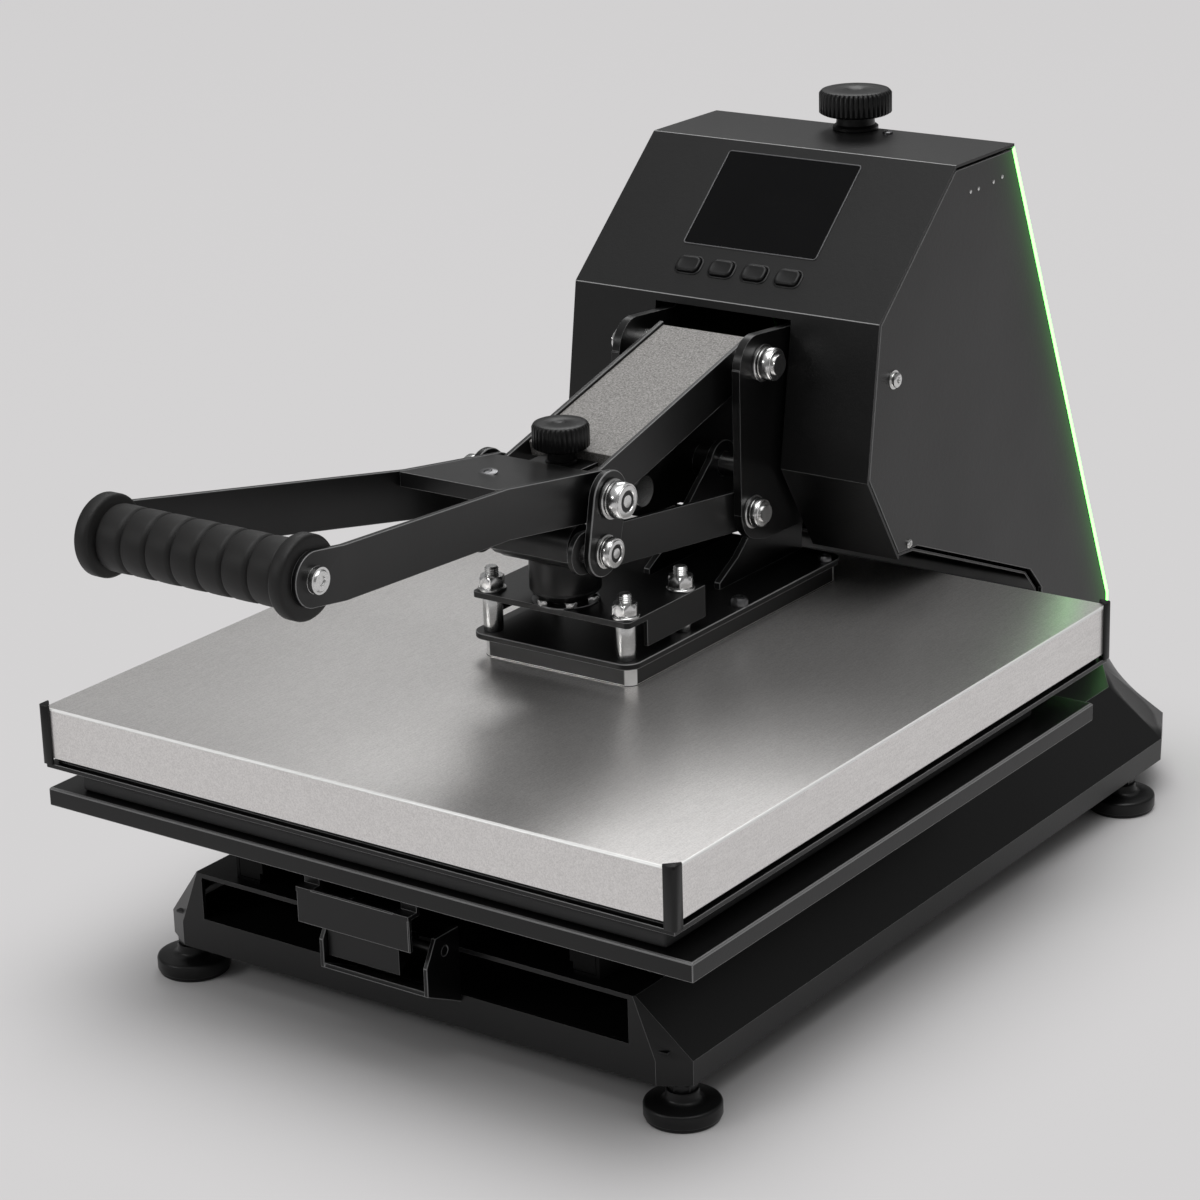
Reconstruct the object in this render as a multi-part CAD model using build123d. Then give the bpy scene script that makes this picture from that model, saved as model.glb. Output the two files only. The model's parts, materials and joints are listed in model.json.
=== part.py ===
from build123d import *
import math
import os

# Clamshell heat press, millimetres.
# X runs to the right seen from the front, Y to the back, Z up.
# The origin lies on the standing surface, midway between the four feet.

# Base tray
BASE_HALF_X = 173.0
BASE_FRONT_Y = -250.0
BASE_SIDE_END_Y = 269.0
BASE_CORNER_Y = 309.0
BASE_REAR_Y = 343.0
BASE_CORNER_X = 154.0
BASE_REAR_X = 98.0
BASE_BOTTOM_Z = 21.3
BASE_FOLD_Z = 34.9
BASE_TOP_Z = 67.5
BASE_SHEET = 2.5
BASE_CHAMFER_X = 16.0
BASE_CHAMFER_Y = 10.0
TOP_HALF_X = 144.0
TOP_SIDE_END_Y = 255.0
TOP_CORNER_X = 124.5
TOP_CORNER_Y = 285.0
TOP_REAR_X = 96.0
TOP_REAR_Y = 337.0
MOUTH_HALF_X = 141.0
MOUTH_BOTTOM_Z = 40.5
FOOT_X = 163.5
FOOT_Y = 236.0

# Levelling feet
FOOT_RADIUS = 20.0
FOOT_DISC = 10.5
FOOT_STEM_RADIUS = 4.0
FOOT_COLLAR_RADIUS = 7.2
FOOT_STEM_TOP = 29.0
FOOT_CLEARANCE = 0.3

# Head cover, platens and pad
COVER_HALF_X = 203.2
COVER_FRONT_Y = -297.0
COVER_REAR_Y = 137.0
COVER_BOTTOM_Z = 139.0
COVER_TOP_Z = 167.3
COVER_SHEET = 1.2
COVER_BEND = 3.0
BOSS_HALF_X = 50.0
BOSS_FRONT_Y = -111.0
BOSS_REAR_Y = 96.0
BOSS_TOP_Z = 178.5
TRAY_BOTTOM_Z = 132.8
TRAY_SHEET = 2.6
TRAY_RIM_INSET = 4.5
TRAY_RIM_TOP_Z = 146.0
TRIM_LEG = 10.0
TRIM_SHEET = 1.6
TRIM_TOP_Z = 169.0
HEAT_BORDER_SIDE = 13.2
HEAT_BORDER_FRONT = 12.0
HEAT_HALF_X = COVER_HALF_X - HEAT_BORDER_SIDE
HEAT_FRONT_Y = COVER_FRONT_Y + HEAT_BORDER_FRONT
HEAT_REAR_Y = 75.0
HEAT_THICK = 14.0
PRESS_GAP = 0.25
PAD_TOP_Z = 127.3
PLATEN_HALF_X = 209.0
PLATEN_FRONT_Y = -291.2
PLATEN_REAR_Y = 110.0
PLATEN_TOP_Z = 117.9
PLATEN_THICK = 10.4
PLATEN_RIM = 4.0
PLATEN_RIM_WIDTH = 12.0
ELEMENT_WIDTH = 16.0
ELEMENT_THICK = 4.0
ELEMENT_RUNS = 6
ELEMENT_INSET = 28.0
BLANKET_GAP = 1.0

# Drawer and slide rails
RAIL_X = 120.0
RAIL_WIDTH = 16.0
RAIL_HEIGHT = 28.0
RAIL_SHEET = 2.0
RAIL_FRONT_Y = -244.0
RAIL_REAR_Y = 96.0
RAIL_CLEARANCE = 0.4
CARRIAGE_SHEET = 2.5
CARRIAGE_HALF_X = 112.0
CARRIAGE_FRONT_Y = -286.0
CARRIAGE_REAR_Y = 92.0
PULL_HALF_X = 36.7
PULL_FRONT_Y = -291.5
PULL_SHEET = 2.5
PULL_TOP_Z = 100.3
PULL_BOTTOM_Z = 80.3
PULL_TAB = 5.0

# Latch bracket and latch on the base front
LATCH_HALF_X = 35.5
LATCH_SHEET = 2.5
LATCH_FRONT_Y = -277.0
LATCH_BOTTOM_Z = 49.5
LATCH_TOP_Z = 79.3
LATCH_PIN_Y = -262.0
LATCH_PIN_Z = 70.0
LATCH_PIN_RADIUS = 2.5
LATCH_GAP = 0.6

# Frame cheeks, pivots and shafts
UPPER_Y = 30.6
UPPER_Z = 311.5
LOWER_Y = 19.1
LOWER_Z = 228.7
HINGE_Y = 88.0
HINGE_Z = 228.0
TOGGLE_Y = -114.0
TOGGLE_Z = 272.8
CRANK_Y = -120.7
CRANK_Z = 245.6
CHEEK_INNER_X = 37.7
CHEEK_SHEET = 5.0
CHEEK_FRONT_Y = 8.0
CHEEK_TIP_RADIUS = 17.0
CHEEK_BOTTOM_Z = 209.0
CHEEK_TOP_Z = 352.0
CHEEK_LEG_FRONT_Y = 252.0
CHEEK_LEG_REAR_Y = 300.0
CHEEK_ARM_REAR_Y = 205.0
FOOT_PLATE_SHEET = 6.0
FOOT_PLATE_HALF_X = 70.0
TIE_SHEET = 5.0
SHAFT_RADIUS = 6.0
HINGE_RADIUS = 7.0
COLLAR_RADIUS = 9.0
NUT_FLATS = 13.0
WASHER_RADIUS = 9.5
WASHER_SHEET = 1.6
NUT_HEIGHT = 6.5
SHAFT_END_X = 54.5
SHAFT_CLEARANCE = 0.3

# Housing
HOUSING_HALF_X = 102.0
HOUSING_SHEET = 1.6
HOUSING_TOP_Z = 406.8
HOUSING_TOP_REAR_Y = 206.0
HOUSING_TOP_FRONT_Y = 139.7
HOUSING_FOLD_Y = 57.0
HOUSING_FOLD_Z = 334.5
HOUSING_KNEE_Y = 44.0
HOUSING_KNEE_Z = 247.0
HOUSING_TOE_Y = 77.0
HOUSING_TOE_Z = 193.5
HOUSING_REAR_Y = 334.0
HOUSING_REAR_Z = 98.0
BELLY_START_Y = 99.0
BELLY_START_Z = 192.0
BELLY_END_Y = 231.0
BELLY_END_Z = 139.0
BELLY_FOOT_Y = 244.0
BELLY_RADIUS = 14.0
THROAT_HALF_X = 45.5
THROAT_TOP_Z = 330.0
FLANGE_WIDTH = 13.0
SIDE_INSET = 3.4
STRIP_WIDTH = 3.0
STRIP_DEPTH = 3.0

# Display, buttons and controls
DISPLAY_START = 36.0
DISPLAY_LENGTH = 65.5
DISPLAY_WIDTH = 88.0
DISPLAY_GLASS = 2.0
DISPLAY_PROUD = 0.4
FIT_GAP = 0.3
BUTTON_CENTRE = 21.0
BUTTON_SPACING = 22.2
BUTTON_WIDTH = 15.0
BUTTON_LENGTH = 10.0
BUTTON_CORNER = 3.4
BUTTON_PROUD = 2.2
BUTTON_STEM = 5.0
BUTTON_COUNT = 4
BOARD_SHEET = 1.6
BOARD_DROP = 9.5
INLET_X = -52.0
INLET_Z = 120.0
SWITCH_X = 52.0
ROCKER_PIVOT_DEPTH = 1.5
ROCKER_PIVOT_RADIUS = 1.2
SOCKET_WIDTH = 27.0
SOCKET_HEIGHT = 20.0
LOUVRE_COUNT = 7
LOUVRE_START = 60.0
LOUVRE_PITCH = 12.0
LOUVRE_LENGTH = 60.0
LOUVRE_WIDTH = 4.0

# Knobs
TOP_KNOB_Y = 199.5
TOP_KNOB_RADIUS = 21.3
TOP_KNOB_HEIGHT = 14.5
TOP_NECK_RADIUS = 11.5
TOP_NECK_HEIGHT = 8.5
TOP_SPINDLE_RADIUS = 5.0
PRESSURE_KNOB_Y = -100.0
PRESSURE_KNOB_RADIUS = 15.5
PRESSURE_KNOB_HEIGHT = 14.0
PRESSURE_NECK_RADIUS = 8.0
PRESSURE_NECK_HEIGHT = 7.8
PRESSURE_SPINDLE_RADIUS = 4.0
KNOB_CROWN = 1.6

# Hanger bracket and pressure hub on the head
PLATE_SHEET = 3.5
PLATE_HALF_X = 54.0
PLATE_FRONT_Y = -117.0
PLATE_REAR_Y = 98.0
PLATE_CORNER = 9.0
BRACKET_HALF_X = 52.0
BRACKET_REAR_Y = -43.0
BRACKET_TOP_Z = 205.4
BRACKET_SHEET = 3.4
BRACKET_DROP = 18.0
STUD_X = 44.2
STUD_FRONT_Y = -107.5
STUD_REAR_Y = -55.0
STUD_RADIUS = 4.0
STUD_PROUD = 3.0
SLEEVE_RADIUS = 5.2
HUB_RADIUS = 19.5
HUB_BOTTOM_Z = 208.4
HUB_TOP_Z = 231.3
HUB_CHAMFER = 4.0
HUB_STEM_RADIUS = 12.0
YOKE_HALF_X = 26.0
YOKE_RADIUS = 12.0
YOKE_PIN_X = 33.9
YOKE_PIN_RADIUS = 6.0
YOKE_TIP_X = 37.4
YOKE_TIP_RADIUS = 3.5
SLOT_GAP = 1.3
EAR_INNER_X = 22.0
EAR_SHEET = 4.0
EAR_BOSS_RADIUS = 14.0

# Lower arms and oval links
LOWER_ARM_INNER_X = 34.3
LOWER_ARM_SHEET = 3.0
LOWER_ARM_RADIUS = 11.5
LOWER_ARM_SLOT = 12.0
LINK_INNER_X = 37.7
LINK_SHEET = 4.0
LINK_RADIUS = 15.0
BOLT_RADIUS = 5.0

# Upper arm, handle and grip
ARM_OUTER_X = 30.7
ARM_SHEET = 2.5
ARM_TOP = 10.0
ARM_BOTTOM_REAR = 14.0
ARM_BOTTOM_FRONT = 17.0
ARM_TAIL = 11.0
ARM_NOSE = 13.0
ARM_COVER_SHEET = 2.0
ARM_COVER_FRONT = 28.0
HANDLE_INNER_X = 31.0
HANDLE_SHEET = 3.0
HANDLE_HALF_DEPTH = 13.5
HANDLE_BEND_Y = -192.0
GRIP_Y = -383.0
GRIP_Z = 312.2
GRIP_HALF_X = 64.3
GRIP_RADIUS = 16.0
GRIP_FLANGE_RADIUS = 20.6
GRIP_FLANGE_WIDTH = 9.0
GRIP_ROD_RADIUS = 6.0
GRIP_SCREW_RADIUS = 6.5
CROSS_FRONT_Y = -198.0
CROSS_REAR_Y = -117.0
CROSS_SHEET = 2.5
CROSS_LIP = 8.0
CROSS_TONGUE_HALF_X = 17.0
CROSS_TONGUE_REAR_Y = -90.5
CROSS_TONGUE_TOP_Z = 282.5
CROSS_TONGUE_STEP = 4.0

NODES = {}


# Shapes shared by many pieces

def block(x0, x1, y0, y1, z0, z1):
    solid = Box(abs(x1 - x0), abs(y1 - y0), abs(z1 - z0))
    return Pos((x0 + x1) / 2, (y0 + y1) / 2, (z0 + z1) / 2) * solid


def outline(points):
    return make_face(Polyline(*points, close=True))


def plate_x(face, x0, x1):
    return extrude(Plane.YZ.offset(min(x0, x1)) * face, amount=abs(x1 - x0))


def rod_x(radius, x0, x1, y, z):
    return plate_x(Pos(y, z) * Circle(radius), x0, x1)


def rod_z(radius, x, y, z0, z1):
    return Pos(x, y, (z0 + z1) / 2) * Cylinder(radius, z1 - z0)


def hex_x(flats, x0, x1, y, z):
    nut = Pos(y, z) * RegularPolygon(flats / 2, 6, major_radius=False)
    return plate_x(nut, x0, x1)


def hex_z(flats, x, y, z0, z1):
    nut = extrude(RegularPolygon(flats / 2, 6, major_radius=False), amount=z1 - z0)
    return Pos(x, y, z0) * nut


def both_sides(solid):
    return [solid, mirror(solid, about=Plane.YZ)]


def group(solids):
    return Compound(children=[part for solid in solids for part in solid.solids()])


def unit(dy, dz):
    length = math.hypot(dy, dz)
    return dy / length, dz / length


def strip_points(path, thick):
    """Closed outline of a folded sheet: the path and its copy moved to the left by thick."""
    inner = []
    for i, (y, z) in enumerate(path):
        before = unit(y - path[i - 1][0], z - path[i - 1][1]) if i > 0 else None
        after = None
        if i < len(path) - 1:
            after = unit(path[i + 1][0] - y, path[i + 1][1] - z)
        first = before or after
        last = after or before
        normal = unit(-(first[1] + last[1]), first[0] + last[0])
        cosine = -first[1] * normal[0] + first[0] * normal[1]
        reach = thick / cosine
        inner.append((y + normal[0] * reach, z + normal[1] * reach))
    return path + inner[::-1]


def bar_face(start, end, radius, start_radius=None):
    """Flat bar in the YZ plane with rounded ends about two pivot points."""
    first = start_radius or radius
    centre_line = (start[0] - end[0], start[1] - end[1])
    turn = math.degrees(math.atan2(centre_line[1], centre_line[0]))
    length = math.hypot(*centre_line)
    half = outline([(0, -radius), (length, -first), (length, first), (0, radius)])
    ends = Circle(radius) + Pos(length, 0) * Circle(first)
    return Pos(end[0], end[1]) * Rot(0, 0, turn) * (half + ends)


# Base tray and feet

def base_outline(z_level):
    if z_level == "low":
        return [
            (-BASE_HALF_X, BASE_FRONT_Y + BASE_CHAMFER_Y),
            (-BASE_HALF_X, BASE_SIDE_END_Y),
            (-BASE_CORNER_X, BASE_CORNER_Y),
            (-BASE_REAR_X, BASE_REAR_Y),
            (BASE_REAR_X, BASE_REAR_Y),
            (BASE_CORNER_X, BASE_CORNER_Y),
            (BASE_HALF_X, BASE_SIDE_END_Y),
            (BASE_HALF_X, BASE_FRONT_Y + BASE_CHAMFER_Y),
            (BASE_HALF_X - BASE_CHAMFER_X, BASE_FRONT_Y),
            (BASE_CHAMFER_X - BASE_HALF_X, BASE_FRONT_Y),
        ]
    return [
        (-TOP_HALF_X - 1.0, BASE_FRONT_Y + 1.0),
        (-TOP_HALF_X, TOP_SIDE_END_Y),
        (-TOP_CORNER_X, TOP_CORNER_Y),
        (-TOP_REAR_X, TOP_REAR_Y),
        (TOP_REAR_X, TOP_REAR_Y),
        (TOP_CORNER_X, TOP_CORNER_Y),
        (TOP_HALF_X, TOP_SIDE_END_Y),
        (TOP_HALF_X + 1.0, BASE_FRONT_Y + 1.0),
        (TOP_HALF_X, BASE_FRONT_Y),
        (-TOP_HALF_X, BASE_FRONT_Y),
    ]


def base_body(shrink, bottom, fold, top):
    low = outline(base_outline("low"))
    high = outline(base_outline("high"))
    if shrink:
        low = offset(low, -shrink, kind=Kind.INTERSECTION)
        high = offset(high, -shrink, kind=Kind.INTERSECTION)
    wall = extrude(Pos(0, 0, bottom) * low, amount=fold - bottom)
    slope = loft([Pos(0, 0, fold) * low, Pos(0, 0, top) * high], ruled=True)
    return wall + slope


def base_tray():
    shell = base_body(0, BASE_BOTTOM_Z, BASE_FOLD_Z, BASE_TOP_Z)
    hollow = base_body(BASE_SHEET, BASE_BOTTOM_Z, BASE_FOLD_Z, BASE_TOP_Z - BASE_SHEET)
    tray = shell - hollow
    mouth = block(-MOUTH_HALF_X, MOUTH_HALF_X, BASE_FRONT_Y - BASE_SHEET,
                  BASE_FRONT_Y + BASE_SHEET * 2, MOUTH_BOTTOM_Z, BASE_TOP_Z - BASE_SHEET)
    tray -= mouth
    for x, y in foot_places():
        tab = block(x - FOOT_RADIUS, x + FOOT_RADIUS, y - FOOT_RADIUS, y + FOOT_RADIUS,
                    BASE_BOTTOM_Z, BASE_BOTTOM_Z + BASE_SHEET)
        tray += tab & base_body(BASE_SHEET, BASE_BOTTOM_Z, BASE_FOLD_Z, BASE_TOP_Z - BASE_SHEET)
        tray -= rod_z(FOOT_STEM_RADIUS + FOOT_CLEARANCE, x, y,
                      BASE_BOTTOM_Z - 1, BASE_BOTTOM_Z + BASE_SHEET + 1)
    return tray


def foot_places():
    return [(sx * FOOT_X, sy * FOOT_Y) for sy in (-1, 1) for sx in (-1, 1)]


def foot(x, y):
    disc = rod_z(FOOT_RADIUS, x, y, 0, FOOT_DISC)
    collar = rod_z(FOOT_COLLAR_RADIUS, x, y, FOOT_DISC, BASE_BOTTOM_Z - FOOT_CLEARANCE)
    return disc + collar + rod_z(FOOT_STEM_RADIUS, x, y, BASE_BOTTOM_Z - 1, FOOT_STEM_TOP)


def latch_bracket():
    side = [
        (LATCH_FRONT_Y, LATCH_BOTTOM_Z),
        (BASE_FRONT_Y, MOUTH_BOTTOM_Z - 4.0),
        (BASE_FRONT_Y, LATCH_TOP_Z),
        (LATCH_FRONT_Y + 8.0, LATCH_TOP_Z),
        (LATCH_FRONT_Y, LATCH_TOP_Z - 14.0),
    ]
    web = plate_x(outline(side), LATCH_HALF_X - LATCH_SHEET, LATCH_HALF_X)
    web -= rod_x(LATCH_PIN_RADIUS + FOOT_CLEARANCE, 0, LATCH_HALF_X + 1, LATCH_PIN_Y, LATCH_PIN_Z)
    floor_path = [(LATCH_FRONT_Y, LATCH_BOTTOM_Z), (BASE_FRONT_Y, MOUTH_BOTTOM_Z - 4.0)]
    floor = plate_x(outline(strip_points(floor_path, LATCH_SHEET)), -LATCH_HALF_X, LATCH_HALF_X)
    floor &= block(-LATCH_HALF_X, LATCH_HALF_X, LATCH_FRONT_Y, BASE_FRONT_Y, 0, BASE_TOP_Z)
    bracket = floor
    for side_web in both_sides(web):
        bracket += side_web
    return bracket


def drawer_latch():
    half = LATCH_HALF_X - LATCH_SHEET - LATCH_GAP
    path = [
        (LATCH_FRONT_Y + 3.5, LATCH_BOTTOM_Z + 6.0),
        (LATCH_FRONT_Y + 3.5, LATCH_PIN_Z + 1.0),
        (LATCH_FRONT_Y + 9.0, LATCH_TOP_Z - 3.0),
    ]
    thumb = plate_x(outline(strip_points(path, -LATCH_SHEET)), -half, half * 0.45)
    tongue = plate_x(outline([
        (LATCH_FRONT_Y + 5.0, LATCH_BOTTOM_Z + 8.0),
        (LATCH_PIN_Y, LATCH_PIN_Z - 6.0),
        (LATCH_PIN_Y + 5.0, LATCH_PIN_Z),
        (LATCH_PIN_Y, LATCH_PIN_Z + 6.0),
        (LATCH_FRONT_Y + 6.0, LATCH_PIN_Z),
    ]), half * 0.1, half * 0.45)
    lug = plate_x(Pos(LATCH_PIN_Y, LATCH_PIN_Z) * Circle(5.5), -half, half * 0.45)
    bridge = block(-half, half * 0.45, LATCH_FRONT_Y + 5.0, LATCH_PIN_Y, LATCH_PIN_Z - 2.0,
                   LATCH_PIN_Z + 1.5)
    pin = rod_x(LATCH_PIN_RADIUS, -LATCH_HALF_X, LATCH_HALF_X, LATCH_PIN_Y, LATCH_PIN_Z)
    return thumb + tongue + lug + bridge + pin


# Drawer

def rail_section(offset_in, thick):
    outer_x = RAIL_X - offset_in
    bottom = BASE_TOP_Z + offset_in
    top = BASE_TOP_Z + RAIL_HEIGHT - offset_in
    inner_x = RAIL_X - RAIL_WIDTH
    return [
        (inner_x, bottom),
        (outer_x, bottom),
        (outer_x, top),
        (inner_x, top),
        (inner_x, top - thick),
        (outer_x - thick, top - thick),
        (outer_x - thick, bottom + thick),
        (inner_x, bottom + thick),
    ]


def along_y(points, y0, y1):
    face = make_face(Polyline(*points, close=True))
    return extrude(Plane.XZ.offset(-y0) * face, amount=-(y1 - y0))


def slide_rails_fixed():
    rail = along_y(rail_section(0, RAIL_SHEET), RAIL_FRONT_Y, RAIL_REAR_Y)
    stop = block(RAIL_X - RAIL_WIDTH, RAIL_X, RAIL_REAR_Y - RAIL_SHEET, RAIL_REAR_Y,
                 BASE_TOP_Z, BASE_TOP_Z + RAIL_HEIGHT)
    return group(both_sides(rail + stop))


def slide_rails_moving():
    gap = RAIL_SHEET + RAIL_CLEARANCE
    outer_x = RAIL_X - gap
    bottom = BASE_TOP_Z + gap
    top = BASE_TOP_Z + RAIL_HEIGHT - gap
    web_x = RAIL_X - RAIL_WIDTH - RAIL_CLEARANCE
    carriage_z = PLATEN_TOP_Z - PLATEN_THICK - CARRIAGE_SHEET
    points = [
        (web_x, bottom + RAIL_SHEET * 2),
        (web_x, bottom),
        (outer_x, bottom),
        (outer_x, top),
        (web_x, top),
        (web_x, carriage_z),
        (web_x - RAIL_SHEET, carriage_z),
        (web_x - RAIL_SHEET, bottom + RAIL_SHEET * 2),
    ]
    length_gap = RAIL_SHEET + RAIL_CLEARANCE
    bar = along_y(points, RAIL_FRONT_Y, RAIL_REAR_Y - length_gap)
    return group(both_sides(bar))


def drawer_carriage():
    top = PLATEN_TOP_Z - PLATEN_THICK
    plate = block(-CARRIAGE_HALF_X, CARRIAGE_HALF_X, CARRIAGE_FRONT_Y, CARRIAGE_REAR_Y,
                  top - CARRIAGE_SHEET, top)
    return fillet(plate.edges().filter_by(Axis.Z), 6.0)


def lower_platen():
    bottom = PLATEN_TOP_Z - PLATEN_THICK
    slab = block(-PLATEN_HALF_X, PLATEN_HALF_X, PLATEN_FRONT_Y, PLATEN_REAR_Y, bottom, PLATEN_TOP_Z)
    slab = chamfer(slab.edges().group_by(Axis.Z)[-1], 0.8)
    inner_x = PLATEN_HALF_X - PLATEN_RIM_WIDTH
    pocket = PLATEN_THICK - PLATEN_RIM
    for x0, x1 in ((-inner_x, -CARRIAGE_HALF_X - PLATEN_RIM), (CARRIAGE_HALF_X + PLATEN_RIM, inner_x)):
        slab -= block(x0, x1, PLATEN_FRONT_Y + PLATEN_RIM_WIDTH, PLATEN_REAR_Y - PLATEN_RIM_WIDTH,
                      bottom, bottom + pocket)
    return slab


def pressing_pad():
    pad = block(-HEAT_HALF_X, HEAT_HALF_X, HEAT_FRONT_Y, HEAT_REAR_Y, PLATEN_TOP_Z, PAD_TOP_Z)
    return fillet(pad.edges().filter_by(Axis.Z), 4.0)


def drawer_pull():
    plate = block(-PULL_HALF_X, PULL_HALF_X, PULL_FRONT_Y, PULL_FRONT_Y + PULL_SHEET,
                  PULL_BOTTOM_Z, PULL_TOP_Z)
    plate = chamfer(plate.edges().group_by(Axis.Y)[0], 0.6)
    carriage_z = PLATEN_TOP_Z - PLATEN_THICK - CARRIAGE_SHEET
    for x in (-PULL_HALF_X + PULL_TAB, PULL_HALF_X - PULL_TAB):
        path = [
            (PULL_FRONT_Y, PULL_TOP_Z - PULL_SHEET),
            (CARRIAGE_FRONT_Y + 4.0, PULL_TOP_Z - PULL_SHEET),
            (CARRIAGE_FRONT_Y + 4.0, carriage_z),
        ]
        tab = plate_x(outline(strip_points(path, PULL_SHEET)), x - PULL_TAB, x + PULL_TAB)
        plate += tab & block(x - PULL_TAB, x + PULL_TAB, PULL_FRONT_Y, HEAT_REAR_Y, 0, carriage_z)
    return plate


# Fixed frame

def frame_cheeks():
    tip = Pos(UPPER_Y - 5.0, UPPER_Z) * Circle(CHEEK_TIP_RADIUS)
    toe = Pos(LOWER_Y + 6.0, LOWER_Z) * Circle(CHEEK_TIP_RADIUS)
    body = outline([
        (CHEEK_FRONT_Y, LOWER_Z),
        (LOWER_Y + 2.0, CHEEK_BOTTOM_Z + 3.0),
        (LOWER_Y + 14.0, CHEEK_BOTTOM_Z),
        (HINGE_Y + 16.0, CHEEK_BOTTOM_Z - 2.0),
        (CHEEK_LEG_FRONT_Y - 16.0, BELLY_END_Z + 16.0),
        (CHEEK_LEG_FRONT_Y, BELLY_END_Z - 8.0),
        (CHEEK_LEG_FRONT_Y, BASE_TOP_Z + FOOT_PLATE_SHEET),
        (CHEEK_LEG_REAR_Y, BASE_TOP_Z + FOOT_PLATE_SHEET),
        (CHEEK_LEG_REAR_Y, BELLY_END_Z + 20.0),
        (CHEEK_ARM_REAR_Y, CHEEK_TOP_Z),
        (HOUSING_TOP_FRONT_Y - 10.0, CHEEK_TOP_Z),
        (HOUSING_FOLD_Y + 6.0, UPPER_Z + 14.0),
        (UPPER_Y - 5.0, UPPER_Z + CHEEK_TIP_RADIUS),
        (CHEEK_FRONT_Y, UPPER_Z),
    ])
    hole = outline([
        (HINGE_Y + 34.0, HINGE_Z),
        (CHEEK_LEG_FRONT_Y - 10.0, BELLY_END_Z + 36.0),
        (CHEEK_LEG_FRONT_Y + 6.0, BELLY_END_Z + 36.0),
        (CHEEK_ARM_REAR_Y - 10.0, CHEEK_TOP_Z - 26.0),
        (HOUSING_TOP_FRONT_Y, CHEEK_TOP_Z - 26.0),
    ])
    face = body + tip + toe - hole
    face -= Pos(UPPER_Y, UPPER_Z) * Circle(SHAFT_RADIUS + SHAFT_CLEARANCE)
    face -= Pos(LOWER_Y, LOWER_Z) * Circle(BOLT_RADIUS + SHAFT_CLEARANCE)
    face -= Pos(HINGE_Y, HINGE_Z) * Circle(HINGE_RADIUS + SHAFT_CLEARANCE)
    return group(both_sides(plate_x(face, CHEEK_INNER_X, CHEEK_INNER_X + CHEEK_SHEET)))


def foot_plate():
    plate = block(-FOOT_PLATE_HALF_X, FOOT_PLATE_HALF_X, CHEEK_LEG_FRONT_Y - 2.0,
                  CHEEK_LEG_REAR_Y + 14.0, BASE_TOP_Z, BASE_TOP_Z + FOOT_PLATE_SHEET)
    return fillet(plate.edges().filter_by(Axis.Z), 6.0)


def frame_bolt_places():
    x = FOOT_PLATE_HALF_X - 12.0
    return [(sx * x, y) for sx in (-1, 1)
            for y in (CHEEK_LEG_FRONT_Y + 12.0, CHEEK_LEG_REAR_Y)]


def frame_bolts():
    top = BASE_TOP_Z + FOOT_PLATE_SHEET
    return group([hex_z(NUT_FLATS, x, y, top, top + NUT_HEIGHT) for x, y in frame_bolt_places()])


def tie_plate():
    """Cross plate between the cheeks that carries the adjusting spindle."""
    half = CHEEK_INNER_X
    top = block(-half, half, TOP_KNOB_Y - 24.0, TOP_KNOB_Y + 3.0, CHEEK_TOP_Z - TIE_SHEET, CHEEK_TOP_Z)
    rear_face = outline(strip_points([
        (CHEEK_LEG_REAR_Y, BELLY_END_Z + 10.0),
        (CHEEK_LEG_REAR_Y, BASE_TOP_Z + FOOT_PLATE_SHEET),
    ], -TIE_SHEET))
    rear = plate_x(rear_face, -half, half)
    boss = rod_z(TOP_NECK_RADIUS, 0, TOP_KNOB_Y - 10.5, CHEEK_TOP_Z - 12.0, CHEEK_TOP_Z - TIE_SHEET)
    boss_hole = rod_z(TOP_SPINDLE_RADIUS + SHAFT_CLEARANCE, 0, TOP_KNOB_Y,
                      CHEEK_TOP_Z - 14.0, CHEEK_TOP_Z + 1)
    return group([top + boss - boss_hole, rear])


def nut_and_washer(x, y, z, radius):
    washer = rod_x(WASHER_RADIUS, x, x + WASHER_SHEET, y, z)
    nut_end = x + WASHER_SHEET + NUT_HEIGHT
    nut = hex_x(NUT_FLATS, x + WASHER_SHEET, nut_end, y, z)
    stack = washer + nut
    return stack - rod_x(radius, x - 1, nut_end + 1, y, z)


def upper_shaft():
    return rod_x(SHAFT_RADIUS, -SHAFT_END_X, SHAFT_END_X, UPPER_Y, UPPER_Z)


def upper_collars():
    collars = rod_x(COLLAR_RADIUS, ARM_OUTER_X + SHAFT_CLEARANCE, CHEEK_INNER_X, UPPER_Y, UPPER_Z)
    collars -= rod_x(SHAFT_RADIUS + FOOT_CLEARANCE, ARM_OUTER_X, CHEEK_INNER_X + 1, UPPER_Y, UPPER_Z)
    return collars


def pivot_nuts():
    outer = CHEEK_INNER_X + CHEEK_SHEET
    upper = nut_and_washer(outer, UPPER_Y, UPPER_Z, SHAFT_RADIUS)
    lower = nut_and_washer(outer, LOWER_Y, LOWER_Z, BOLT_RADIUS)
    hinge = nut_and_washer(outer, HINGE_Y, HINGE_Z, HINGE_RADIUS - 1.0)
    parts = []
    for piece in (upper, lower, hinge, upper_collars()):
        parts += both_sides(piece)
    return group(parts)


def lower_bolts():
    """Shoulder bolts of the lower arms: head inside, nut outside the cheek."""
    outer = CHEEK_INNER_X + CHEEK_SHEET + WASHER_SHEET + NUT_HEIGHT + 1.5
    head_x = LOWER_ARM_INNER_X - FOOT_CLEARANCE
    bolt = rod_x(BOLT_RADIUS, head_x, outer, LOWER_Y, LOWER_Z)
    head = rod_x(COLLAR_RADIUS, head_x - 3.5, head_x, LOWER_Y, LOWER_Z)
    return group(both_sides(bolt + head))


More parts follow.
